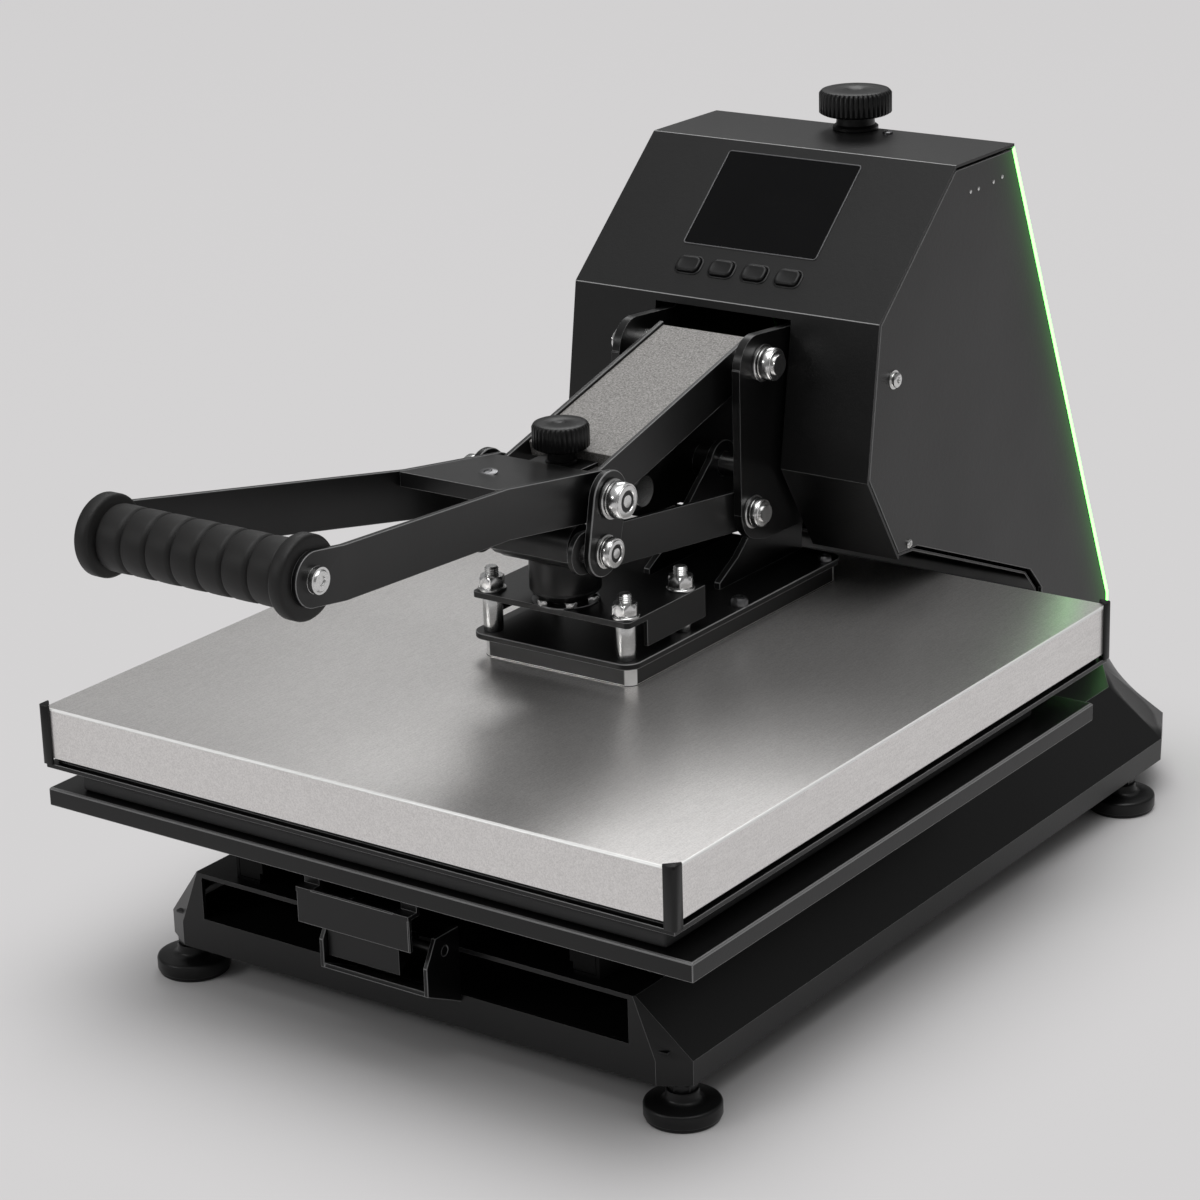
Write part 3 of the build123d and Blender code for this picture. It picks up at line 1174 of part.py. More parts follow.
def handle_bar():
    """Right-hand bar: a straight rear stretch beside the arm, then bent outwards to the grip."""
    depth = HANDLE_HALF_DEPTH
    side = bar_face((TOGGLE_Y, TOGGLE_Z), (GRIP_Y, GRIP_Z), depth)
    tall = plate_x(side, 0, GRIP_HALF_X + HANDLE_SHEET * 2)
    y_end = GRIP_Y - depth - 1.0
    grip_x = GRIP_HALF_X + SHAFT_CLEARANCE
    plan_path = [
        (HANDLE_INNER_X, TOGGLE_Y + depth + 1.0),
        (HANDLE_INNER_X, HANDLE_BEND_Y),
        (grip_x, GRIP_Y + GRIP_FLANGE_RADIUS + 1.0),
        (grip_x, y_end),
    ]
    plan = make_face(Polyline(*strip_points(plan_path, HANDLE_SHEET), close=True))
    column = extrude(Pos(0, 0, 0) * plan, amount=GRIP_Z * 2)
    bar = tall & column
    bar -= rod_x(BOLT_RADIUS, 0, GRIP_HALF_X * 2, TOGGLE_Y, TOGGLE_Z)
    return bar - rod_x(GRIP_ROD_RADIUS - 2.0, 0, GRIP_HALF_X * 2, GRIP_Y, GRIP_Z)


def handle_bars():
    return group(both_sides(handle_bar()))


def handle_crossplate():
    half = HANDLE_INNER_X
    top_front = (CROSS_FRONT_Y, cross_height(CROSS_FRONT_Y) + HANDLE_HALF_DEPTH)
    top_rear = (CROSS_REAR_Y, cross_height(CROSS_REAR_Y) + HANDLE_HALF_DEPTH)
    path = [
        (CROSS_FRONT_Y, top_front[1] - CROSS_LIP),
        top_front,
        top_rear,
    ]
    plate = plate_x(outline(strip_points(path, -CROSS_SHEET)), -half, half)
    tongue_path = [
        top_rear,
        (CROSS_REAR_Y + CROSS_TONGUE_STEP, CROSS_TONGUE_TOP_Z),
        (CROSS_TONGUE_REAR_Y, CROSS_TONGUE_TOP_Z),
    ]
    tongue_x = CROSS_TONGUE_HALF_X
    tongue = plate_x(outline(strip_points(tongue_path, -CROSS_SHEET)), -tongue_x, tongue_x)
    plate += tongue
    plate -= rod_z(PRESSURE_SPINDLE_RADIUS + SHAFT_CLEARANCE, 0, PRESSURE_KNOB_Y, TOGGLE_Z - 20.0,
                   GRIP_Z)
    return plate


def lever_shaft():
    outer = LINK_INNER_X + LINK_SHEET
    shaft = rod_x(BOLT_RADIUS, -SHAFT_END_X, SHAFT_END_X, TOGGLE_Y, TOGGLE_Z)
    for nut in both_sides(nut_and_washer(outer + SHAFT_CLEARANCE, TOGGLE_Y, TOGGLE_Z, BOLT_RADIUS)):
        shaft += nut
    return shaft


def grip_rod():
    outer = GRIP_HALF_X + SHAFT_CLEARANCE + HANDLE_SHEET
    rod = rod_x(GRIP_ROD_RADIUS, -GRIP_HALF_X - 0.3, GRIP_HALF_X + 0.3, GRIP_Y, GRIP_Z)
    for side in (-1, 1):
        rod += rod_x(GRIP_ROD_RADIUS - 2.0, side * GRIP_HALF_X, side * outer, GRIP_Y, GRIP_Z)
        head = rod_x(GRIP_SCREW_RADIUS, side * outer, side * (outer + 3.6), GRIP_Y, GRIP_Z)
        rod += head
    return rod


def grip_sleeve():
    start = -GRIP_HALF_X + GRIP_FLANGE_WIDTH
    points = [(-GRIP_HALF_X, 0), (-GRIP_HALF_X, GRIP_FLANGE_RADIUS),
              (start - 3.0, GRIP_FLANGE_RADIUS), (start, GRIP_RADIUS),
              (-start, GRIP_RADIUS), (3.0 - start, GRIP_FLANGE_RADIUS),
              (GRIP_HALF_X, GRIP_FLANGE_RADIUS), (GRIP_HALF_X, 0)]
    sleeve = revolve(outline(points), axis=Axis.X)
    sleeve = Pos(0, GRIP_Y, GRIP_Z) * sleeve
    return sleeve - rod_x(GRIP_ROD_RADIUS + SHAFT_CLEARANCE, -GRIP_HALF_X - 1, GRIP_HALF_X + 1, GRIP_Y, GRIP_Z)


# Assembly

NODES["base_tray"] = base_tray()
NODES["latch_bracket"] = latch_bracket()
NODES["drawer_latch"] = drawer_latch()
NODES["slide_rails_fixed"] = slide_rails_fixed()
NODES["slide_rails_moving"] = slide_rails_moving()
NODES["drawer_carriage"] = drawer_carriage()
NODES["drawer_pull"] = drawer_pull()
NODES["lower_platen"] = lower_platen()
NODES["pressing_pad"] = pressing_pad()
for name, (foot_x, foot_y) in zip(
        ("front_left", "front_right", "rear_left", "rear_right"), foot_places()):
    NODES["foot_" + name] = foot(foot_x, foot_y)

NODES["frame_cheeks"] = frame_cheeks()
NODES["foot_plate"] = foot_plate()
NODES["frame_bolts"] = frame_bolts()
NODES["tie_plates"] = tie_plate()
NODES["pivot_shafts"] = group([upper_shaft(), hinge_shaft()])
NODES["pivot_nuts"] = pivot_nuts()
NODES["lower_pivot_bolts"] = lower_bolts()

NODES["front_cover"] = front_cover()
NODES["side_cover_left"] = side_cover(-1)
NODES["side_cover_right"] = side_cover(1)
NODES["rear_cover"] = rear_cover()
NODES["belly_panel"] = belly_panel()
NODES["light_strips"] = light_strips()
NODES["display_window"] = display_window()
NODES["control_board"] = control_board()
for index, button_x in enumerate(button_places(), start=1):
    NODES[f"button_{index}"] = button(button_x)
NODES["power_inlet"] = power_inlet()
NODES["switch_frame"] = switch_frame()
NODES["power_switch"] = power_switch()
NODES["top_knob"] = top_knob()

NODES["head_cover"] = head_cover()
NODES["bottom_tray"] = bottom_tray()
NODES["corner_trims"] = corner_trims()
NODES["heating_platen"] = heating_platen()
NODES["heating_element"] = heating_element()
NODES["insulation_blanket"] = insulation_blanket()
NODES["centre_plate"] = centre_plate()
NODES["hinge_ears"] = hinge_ears()
NODES["hanger_bracket"] = hanger_bracket()
NODES["hanger_studs"] = hanger_studs()
NODES["pressure_hub"] = pressure_hub()
NODES["hub_yoke"] = hub_yoke()

NODES["lower_arms"] = lower_arms()
NODES["link_plates"] = link_plates()
NODES["crank_bolts"] = crank_bolts()
NODES["upper_arm"] = upper_arm()
NODES["arm_cover"] = arm_cover()
NODES["handle_bars"] = handle_bars()
NODES["handle_crossplate"] = handle_crossplate()
NODES["lever_shaft"] = lever_shaft()
NODES["grip_rod"] = grip_rod()
NODES["grip_sleeve"] = grip_sleeve()
NODES["pressure_knob"] = pressure_knob()

os.makedirs("parts", exist_ok=True)
for name, piece in NODES.items():
    export_step(piece, f"parts/{name}.step")
print(len(NODES), "nodes")
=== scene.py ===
import bmesh
import bpy
import json
import math
from mathutils import Matrix, Vector


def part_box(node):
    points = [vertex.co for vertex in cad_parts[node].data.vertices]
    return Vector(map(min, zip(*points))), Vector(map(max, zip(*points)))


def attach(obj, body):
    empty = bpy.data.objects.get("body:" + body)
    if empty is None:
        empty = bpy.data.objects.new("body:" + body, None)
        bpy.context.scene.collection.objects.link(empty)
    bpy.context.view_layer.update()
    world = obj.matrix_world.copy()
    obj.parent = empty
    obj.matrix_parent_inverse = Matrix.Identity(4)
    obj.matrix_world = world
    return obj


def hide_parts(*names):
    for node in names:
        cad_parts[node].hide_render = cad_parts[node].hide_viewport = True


# Clamshell heat press in metres: X to the right, Y to the back, Z up.

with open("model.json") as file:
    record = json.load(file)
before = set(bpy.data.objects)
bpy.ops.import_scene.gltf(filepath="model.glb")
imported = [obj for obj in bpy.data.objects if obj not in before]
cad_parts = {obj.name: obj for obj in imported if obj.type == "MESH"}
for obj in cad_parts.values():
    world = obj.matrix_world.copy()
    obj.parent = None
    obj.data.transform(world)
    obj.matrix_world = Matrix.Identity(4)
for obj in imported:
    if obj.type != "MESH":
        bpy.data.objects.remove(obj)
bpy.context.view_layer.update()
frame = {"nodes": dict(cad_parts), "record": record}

MM = 0.001
CAMERA_PLACE = Vector((1.0622, -1.5323, 0.8289))
CAMERA_YAW = 0.62787
CAMERA_PITCH = 0.33704
CAMERA_ROLL = -0.02967
LENS = 105.15

# Places of the pivots and edges that the pieces sit on, in millimetres
UPPER_PIVOT = (30.6, 311.5)
LOWER_PIVOT = (19.1, 228.7)
HEAD_PIVOT = (88.0, 228.0)
LEVER_PIVOT = (-114.0, 272.8)
CRANK_PIVOT = (-120.7, 245.6)
CHEEK_OUTER = 42.7
LINK_OUTER = 41.7
GRIP_AXIS = (-383.0, 312.2)
GRIP_HALF = 64.3
HOUSING_HALF = 102.0
FOLD = (57.0, 334.5)
SLOPE_TOP = (139.7, 406.8)
HOUSING_TOP = 406.8
REAR_TOP = (206.0, 406.8)
REAR_FOOT = (334.0, 98.0)
TOP_KNOB = (0.0, 199.5, 407.1)
PRESSURE_KNOB = (0.0, -100.0, 282.8)
PLATE_TOP = 182.0
BRACKET_TOP = 205.4
HUB_Y = -100.0
STUD_X = 44.2
STUD_Y = (-107.5, -55.0)
FOOT_X = 163.5
FOOT_Y = 236.0
SIDE_BOLT = (73.4, 299.5)
SIDE_SCREW = (89.6, 199.5)
SIDE_RIVETS = ((157.0, 388.5), (166.0, 388.5), (183.0, 389.0), (193.0, 390.0))
LOW_SCREWS = ((300.0, 84.0), (262.0, 84.0))
ROOF_SCREW = (24.0, 196.0)
CROSSPLATE_SCREW_Y = -164.0
CROSSPLATE_LIFT = 13.5

# Sizes of the added pieces, in millimetres, and counts
WASHER_THICK = 1.8
HEAD_START = 2.6
GRIP_BANDS = 7
HUB_BOLT_CIRCLE = 15.2
BUTTON_PITCH = 22.2
BUTTON_SEAT = 21.0
DISPLAY_SEAT = 68.75
ANGLE_LEG = 7.2
ANGLE_THICK = 1.6
ANGLE_ARC = 2.6
ANGLE_STEPS = 6

# Tones, and places in metres where a finish or a painted shade changes
BLACK = (0.0035, 0.0035, 0.0036)
FLOOR_TONE = (0.665, 0.655, 0.658)
BOSS_FOOT = 0.1679
BOSS_REACH = (0.054, -0.2, 0.12)
SIDE_OUTER = 0.1012
SPILL_REACH = 0.007
SPILL_STRENGTH = 0.16
LIGHT_STRENGTH = 4.0
COVER_METALLIC = 0.88
EDGE_METALLIC = 0.35
FLOOR_HALF = 12.0
CONTACT_X = 0.15
CONTACT_Y = 0.27
CONTACT_FADE = 0.17
FLOOR_GLOW = 0.93


# Camera

def set_camera():
    cp, sp = math.cos(CAMERA_PITCH), math.sin(CAMERA_PITCH)
    cy, sy = math.cos(CAMERA_YAW), math.sin(CAMERA_YAW)
    forward = Vector((-sy * cp, cy * cp, -sp))
    level = Vector((cy, sy, 0))
    lift = level.cross(forward)
    cr, sr = math.cos(CAMERA_ROLL), math.sin(CAMERA_ROLL)
    right = cr * level + sr * lift
    up = cr * lift - sr * level
    data = bpy.data.cameras.new("camera")
    data.lens = LENS
    data.sensor_width = 36.0
    data.clip_end = 50.0
    camera = bpy.data.objects.new("camera", data)
    turn = Matrix((right, up, -forward)).transposed().to_4x4()
    camera.matrix_world = Matrix.Translation(CAMERA_PLACE) @ turn
    bpy.context.scene.collection.objects.link(camera)
    bpy.context.scene.camera = camera


set_camera()


# Shared surface effects

def effect_group(name, inputs, outputs):
    tree = bpy.data.node_groups.new(name, "ShaderNodeTree")
    for label, value in inputs:
        socket = tree.interface.new_socket(name=label, in_out="INPUT", socket_type="NodeSocketFloat")
        socket.default_value = value
    for label, kind in outputs:
        tree.interface.new_socket(name=label, in_out="OUTPUT", socket_type=kind)
    return tree, tree.nodes.new("NodeGroupInput"), tree.nodes.new("NodeGroupOutput")


def add(tree, kind, **settings):
    node = tree.nodes.new(kind)
    for key, value in settings.items():
        setattr(node, key, value)
    return node


def math_node(tree, operation, first, second):
    node = add(tree, "ShaderNodeMath", operation=operation)
    for socket, value in zip(node.inputs, (first, second)):
        if isinstance(value, (int, float)):
            socket.default_value = value
        else:
            tree.links.new(value, socket)
    return node.outputs[0]


def split(tree, vector):
    node = add(tree, "ShaderNodeSeparateXYZ")
    tree.links.new(vector, node.inputs[0])
    return node.outputs


def object_place(tree):
    return split(tree, add(tree, "ShaderNodeTexCoord").outputs["Object"])


def smooth_share(tree, value, start, end, most=1.0):
    """Share that rises smoothly from 0 at start to most at end."""
    node = add(tree, "ShaderNodeMapRange", interpolation_type="SMOOTHSTEP")
    tree.links.new(value, node.inputs["Value"])
    node.inputs["From Min"].default_value = start
    node.inputs["From Max"].default_value = end
    node.inputs["To Max"].default_value = most
    return node.outputs["Result"]


def noise(tree, place, scale, detail=4.0, rough=0.5):
    node = add(tree, "ShaderNodeTexNoise")
    tree.links.new(place, node.inputs["Vector"])
    if isinstance(scale, (int, float)):
        node.inputs["Scale"].default_value = scale
    else:
        tree.links.new(scale, node.inputs["Scale"])
    node.inputs["Detail"].default_value = detail
    node.inputs["Roughness"].default_value = rough
    return node.outputs["Fac"]


def coat_grain_group():
    """Orange-peel grain of a sprayed coat, with broad patches of slightly other gloss."""
    tree, given, out = effect_group(
        "coat_grain",
        [("Grain Scale", 1500.0), ("Patch Scale", 9.0), ("Patch Depth", 0.08), ("Speck Scale", 1000.0)],
        [("Height", "NodeSocketFloat"), ("Gloss Shift", "NodeSocketFloat"), ("Speck", "NodeSocketFloat")])
    place = add(tree, "ShaderNodeNewGeometry").outputs["Position"]
    grain = noise(tree, place, given.outputs["Grain Scale"], 3.0, 0.6)
    peel = noise(tree, place, 340.0, 2.0, 0.5)
    height = math_node(tree, "ADD", grain, math_node(tree, "MULTIPLY", peel, 0.8))
    tree.links.new(height, out.inputs["Height"])
    patch = noise(tree, place, given.outputs["Patch Scale"], 5.0, 0.55)
    shift = math_node(tree, "MULTIPLY", math_node(tree, "SUBTRACT", patch, 0.5), given.outputs["Patch Depth"])
    tree.links.new(math_node(tree, "MULTIPLY", shift, 2.0), out.inputs["Gloss Shift"])
    speck = math_node(tree, "SUBTRACT", noise(tree, place, given.outputs["Speck Scale"], 3.0, 0.7), 0.36)
    tree.links.new(math_node(tree, "MULTIPLY", speck, 3.6), out.inputs["Speck"])
    return tree


def metal_grain_group():
    """Fine satin grain of rolled sheet: short streaks along Y and a blasted speckle."""
    tree, given, out = effect_group(
        "metal_grain", [("Streak", 0.5), ("Speckle", 0.5), ("Cloud Scale", 6.0)],
        [("Height", "NodeSocketFloat"), ("Tone", "NodeSocketFloat"), ("Cloud", "NodeSocketFloat")])
    place = add(tree, "ShaderNodeNewGeometry").outputs["Position"]
    stretch = add(tree, "ShaderNodeVectorMath", operation="MULTIPLY")
    tree.links.new(place, stretch.inputs[0])
    stretch.inputs[1].default_value = (1.0, 0.06, 1.0)
    streak = noise(tree, stretch.outputs[0], 1400.0, 3.0, 0.6)
    speckle = noise(tree, place, 1150.0, 3.0, 0.7)
    height = math_node(tree, "ADD", math_node(tree, "MULTIPLY", streak, given.outputs["Streak"]),
                       math_node(tree, "MULTIPLY", speckle, given.outputs["Speckle"]))
    tree.links.new(height, out.inputs["Height"])
    tree.links.new(height, out.inputs["Tone"])
    tree.links.new(noise(tree, place, given.outputs["Cloud Scale"], 4.0, 0.55), out.inputs["Cloud"])
    return tree


COAT_GRAIN = coat_grain_group()
METAL_GRAIN = metal_grain_group()


def start_material(name):
    material = bpy.data.materials.new(name)
    material.use_nodes = True
    tree = material.node_tree
    return material, tree, tree.nodes["Principled BSDF"]


def place_group(tree, group, **values):
    node = add(tree, "ShaderNodeGroup", node_tree=group)
    for label, value in values.items():
        node.inputs[label.replace("_", " ")].default_value = value
    return node


def mix_colour(tree, share, first, second):
    """Colour from first to second by share; each is a tone or another node's colour."""
    node = add(tree, "ShaderNodeMix", data_type="RGBA")
    tree.links.new(share, node.inputs["Factor"])
    for label, colour in (("A", first), ("B", second)):
        if isinstance(colour, tuple):
            node.inputs[label].default_value = (*colour, 1.0)
        else:
            tree.links.new(colour, node.inputs[label])
    return node.outputs["Result"]


def tint_where(tree, shader, share, tone):
    """Lay a tone over the material's own colour by a mask."""
    own = shader.inputs["Base Color"].links[0].from_socket
    tree.links.new(mix_colour(tree, share, own, tone), shader.inputs["Base Color"])


def bump(tree, height, depth, strength, shader):
    node = add(tree, "ShaderNodeBump")
    node.inputs["Distance"].default_value = depth
    node.inputs["Strength"].default_value = strength
    tree.links.new(height, node.inputs["Height"])
    tree.links.new(node.outputs["Normal"], shader.inputs["Normal"])


def clamp_range(tree, value, low, high):
    node = add(tree, "ShaderNodeMapRange")
    tree.links.new(value, node.inputs["Value"])
    node.inputs["To Min"].default_value = low
    node.inputs["To Max"].default_value = high
    return node.outputs["Result"]


def coated_steel(name, colour, rough, grain=1500.0, depth=0.00006, patch=0.08, speck=None, shine=0.5):
    """Powder-coated sheet: fine grain and patches of slightly other gloss."""
    material, tree, shader = start_material(name)
    coat = place_group(tree, COAT_GRAIN, Grain_Scale=grain, Patch_Depth=patch)
    tone = mix_colour(tree, coat.outputs["Speck"], colour, speck or colour)
    tree.links.new(tone, shader.inputs["Base Color"])
    tree.links.new(math_node(tree, "ADD", coat.outputs["Gloss Shift"], rough), shader.inputs["Roughness"])
    shader.inputs["Specular IOR Level"].default_value = shine
    bump(tree, coat.outputs["Height"], depth, 0.6, shader)
    return material


def paint_fold_highlight(material, faces, tone, metallic=0.0):
    """The narrow roundings between the flat faces of a folded sheet get a painted highlight: a lighter tone
    and another metallic.
    """
    tree = material.node_tree
    shader = tree.nodes["Principled BSDF"]
    normal = add(tree, "ShaderNodeTexCoord").outputs["Normal"]
    nearest = -1.0
    for face in faces:
        dot = add(tree, "ShaderNodeVectorMath", operation="DOT_PRODUCT")
        tree.links.new(normal, dot.inputs[0])
        dot.inputs[1].default_value = Vector(face).normalized()
        nearest = math_node(tree, "MAXIMUM", dot.outputs["Value"], nearest)
    mask = smooth_share(tree, nearest, 0.998, 0.975)
    tint_where(tree, shader, mask, tone)
    sheen = add(tree, "ShaderNodeMix", data_type="FLOAT")
    tree.links.new(mask, sheen.inputs["Factor"])
    sheen.inputs["A"].default_value = shader.inputs["Metallic"].default_value
    sheen.inputs["B"].default_value = metallic
    if shader.inputs["Metallic"].is_linked:
        tree.links.new(shader.inputs["Metallic"].links[0].from_socket, sheen.inputs["A"])
    tree.links.new(sheen.outputs["Result"], shader.inputs["Metallic"])


# Directions that the flat faces look in, (x, y, z)
COVER_FACES = [(0, 0, 1), (0, 0, -1), (0, 1, 0), (0, -1, 0), (1, 0, 0), (-1, 0, 0)]
HOUSING_FACES = COVER_FACES + [
    (0, -0.6582, 0.7529), (0, -87.5, 13.0), (0, -53.5, -33.0), (0, -1.5, -22.0), (0, -53.0, -132.0),
    (0, 308.8, 128.0), (0, -308.8, -128.0)]


def bare_metal(name, dark, light, rough_low, rough_high, streak=0.5, speckle=0.5, depth=0.00002, cloud=6.0,
               metallic=1.0):
    material, tree, shader = start_material(name)
    grain = place_group(tree, METAL_GRAIN, Streak=streak, Speckle=speckle, Cloud_Scale=cloud)
    middle = (streak + speckle) / 2
    share = math_node(tree, "SUBTRACT", grain.outputs["Tone"], middle - 0.15)
    share = math_node(tree, "MULTIPLY", share, 3.3)
    tree.links.new(mix_colour(tree, share, dark, light), shader.inputs["Base Color"])
    shader.inputs["Metallic"].default_value = metallic
    tree.links.new(clamp_range(tree, grain.outputs["Cloud"], rough_low, rough_high),
                   shader.inputs["Roughness"])
    bump(tree, grain.outputs["Height"], depth, 0.5, shader)
    return material


def paint_black_shade(material, share, metallic):
    """Paint a bare metal black where share is 1, as painted shade."""
    tree = material.node_tree
    shader = tree.nodes["Principled BSDF"]
    tint_where(tree, shader, share, BLACK)
    bare = math_node(tree, "SUBTRACT", 1.0, share)
    tree.links.new(math_node(tree, "MULTIPLY", bare, metallic), shader.inputs["Metallic"])


def shade_boss_black(material):
    """The side of the raised boss of the cover, above the flat top, is painted black as painted shade of the
    step under the plate on it.
    """
    place = object_place(material.node_tree)
    raised = math_node(material.node_tree, "GREATER_THAN", place["Z"], BOSS_FOOT)
    paint_black_shade(material, raised, COVER_METALLIC)


def shade_boss_edge_black(material):
    """The rounding at the foot of the boss is painted black like the boss, as painted shade over its painted
    edge highlight.
    """
    tree = material.node_tree
    place = object_place(tree)
    side, front, rear = BOSS_REACH
    within = math_node(tree, "LESS_THAN", math_node(tree, "ABSOLUTE", place["X"], 0), side)
    for operation, limit in (("GREATER_THAN", front), ("LESS_THAN", rear)):
        within = math_node(tree, "MULTIPLY", within, math_node(tree, operation, place["Y"], limit))
    paint_black_shade(material, within, EDGE_METALLIC)


def soft_rubber(name, colour, dusty, rough, depth=0.0002, scale=900.0):
    material, tree, shader = start_material(name)
    place = add(tree, "ShaderNodeNewGeometry").outputs["Position"]
    pores = noise(tree, place, scale, 5.0, 0.65)
    patch = noise(tree, place, 22.0, 4.0, 0.6)
    tree.links.new(mix_colour(tree, patch, colour, dusty), shader.inputs["Base Color"])
    tree.links.new(clamp_range(tree, patch, rough - 0.06, rough + 0.06), shader.inputs["Roughness"])
    shader.inputs["Specular IOR Level"].default_value = 0.35
    bump(tree, pores, depth, 0.5, shader)
    return material


def display_glass():
    material, tree, shader = start_material("display_glass")
    place = add(tree, "ShaderNodeNewGeometry").outputs["Position"]
    smear = noise(tree, place, 35.0, 5.0, 0.6)
    tree.links.new(mix_colour(tree, smear, (0.0025, 0.0025, 0.0028), (0.004, 0.004, 0.0044)),
                   shader.inputs["Base Color"])
    tree.links.new(clamp_range(tree, smear, 0.12, 0.2), shader.inputs["Roughness"])
    shader.inputs["Specular IOR Level"].default_value = 0.08
    return material


def lit_side(name):
    """Side cover coat with the green of the light strip spilling in from its rear edge."""
    material = coated_steel(name, (0.0042, 0.0042, 0.0043), 0.39, 1100.0, 0.0001)
    tree = material.node_tree
    shader = tree.nodes["Principled BSDF"]
    place = object_place(tree)
    lean = (REAR_FOOT[0] - REAR_TOP[0]) / (REAR_TOP[1] - REAR_FOOT[1])
    drop = math_node(tree, "SUBTRACT", REAR_TOP[1] * MM, place["Z"])
    edge = math_node(tree, "ADD", math_node(tree, "MULTIPLY", drop, lean), REAR_TOP[0] * MM)
    gap = math_node(tree, "SUBTRACT", edge, place["Y"])
    near = math_node(tree, "POWER", 2.718, math_node(tree, "MULTIPLY", gap, -1.0 / SPILL_REACH))
    outside = math_node(tree, "GREATER_THAN", math_node(tree, "ABSOLUTE", place["X"], 0), SIDE_OUTER)
    spill = mix_colour(tree, math_node(tree, "MULTIPLY", near, outside), (0, 0, 0), (0.10, 1.0, 0.07))
    tree.links.new(spill, shader.inputs["Emission Color"])
    shader.inputs["Emission Strength"].default_value = SPILL_STRENGTH
    return material


def green_light():
    """Light guide that shines out of its outer and rear faces only."""
    material, tree, shader = start_material("green_light")
    geometry = add(tree, "ShaderNodeNewGeometry")
    flicker = noise(tree, geometry.outputs["Position"], 60.0, 2.0, 0.5)
    tree.links.new(mix_colour(tree, flicker, (0.10, 0.7, 0.15), (0.2, 0.8, 0.2)),
                   shader.inputs["Base Color"])
    glow = mix_colour(tree, flicker, (0.16, 1.0, 0.13), (0.26, 1.0, 0.20))
    normal = split(tree, geometry.outputs["Normal"])
    place = split(tree, geometry.outputs["Position"])
    side = math_node(tree, "SIGN", place["X"], 0)
    outward = math_node(tree, "MULTIPLY", normal["X"], side)
    facing = math_node(tree, "MAXIMUM", outward, normal["Y"])
    shining = math_node(tree, "GREATER_THAN", facing, 0.4)
    tree.links.new(mix_colour(tree, shining, (0, 0, 0), glow), shader.inputs["Emission Color"])
    shader.inputs["Emission Strength"].default_value = LIGHT_STRENGTH
    shader.inputs["Roughness"].default_value = 0.4
    return material


# Finishes

BLACK_COAT = coated_steel("black_coat", BLACK, 0.34, shine=0.36)
# Nearly black, with little gloss: painted shade, so the rails sit dark under the platen
RAIL_SHADE_COAT = coated_steel("rail_shade_coat", (0.002, 0.002, 0.002), 0.5, shine=0.1)
# Lighter grey on the roundings of black-coated edges: a painted highlight
COAT_EDGE_HIGHLIGHT = coated_steel("coat_edge_highlight", (0.20, 0.20, 0.201), 0.30)
SIDE_COAT = lit_side("side_coat")
HOUSING_COAT = coated_steel("housing_coat", (0.0038, 0.0038, 0.0039), 0.37, 1100.0, 0.0001, shine=0.40)
# Painted highlight on the fold roundings of the housing
paint_fold_highlight(HOUSING_COAT, HOUSING_FACES, (0.33, 0.33, 0.33))
ARM_COAT = coated_steel("arm_coat", (0.0032, 0.0032, 0.0033), 0.32, shine=0.36)
GREY_COAT = coated_steel("grey_coat", (0.112, 0.106, 0.10), 0.50, 700.0, 0.00018, 0.1,
                         (0.34, 0.328, 0.315))
STAINLESS = bare_metal("stainless", (0.68, 0.662, 0.65), (0.90, 0.882, 0.868), 0.27, 0.35,
                       0.35, 0.8, 0.000022, metallic=COVER_METALLIC)
# Painted shade on the side of the cover's boss
shade_boss_black(STAINLESS)
# Painted highlight on the edge roundings of the stainless cover
paint_fold_highlight(STAINLESS, COVER_FACES, (0.97, 0.965, 0.955), 0.3)
# Lighter, less metallic stainless on the rounded edges of the head cover: a painted highlight
STAINLESS_EDGE_HIGHLIGHT = bare_metal("stainless_edge_highlight", (0.88, 0.87, 0.86), (0.97, 0.965, 0.955), 0.34, 0.40,
                            0.3, 0.5, 0.00001, metallic=EDGE_METALLIC)
# Painted shade over that highlight at the foot of the boss
shade_boss_edge_black(STAINLESS_EDGE_HIGHLIGHT)
ZINC = bare_metal("zinc", (0.60, 0.60, 0.60), (0.78, 0.78, 0.77), 0.16, 0.30, 0.3, 0.6, 0.00001, 30.0)
DARK_ZINC = bare_metal("dark_zinc", (0.16, 0.16, 0.165), (0.24, 0.24, 0.245), 0.24, 0.36,
                       0.3, 0.6, 0.00001, 30.0)
ALUMINIUM = bare_metal("aluminium", (0.42, 0.42, 0.42), (0.56, 0.56, 0.555), 0.30, 0.42, 0.8, 0.2)
SILICONE = soft_rubber("silicone", (0.035, 0.035, 0.036), (0.05, 0.05, 0.05), 0.62)
FOAM = soft_rubber("foam", (0.006, 0.0058, 0.0058), (0.011, 0.0105, 0.010), 0.52, 0.00022, 1300.0)
PLASTIC = soft_rubber("plastic", BLACK, (0.006, 0.006, 0.0062), 0.36, 0.00006, 1600.0)
WOOL = soft_rubber("wool", (0.62, 0.60, 0.55), (0.7, 0.68, 0.63), 0.9, 0.0008, 260.0)
BOARD = soft_rubber("board", (0.01, 0.07, 0.03), (0.012, 0.09, 0.04), 0.4, 0.0001, 400.0)
GLASS = display_glass()
GREEN = green_light()
BLACK_EDGE_HIGHLIGHTED = (BLACK_COAT, HOUSING_COAT, ARM_COAT, SIDE_COAT)

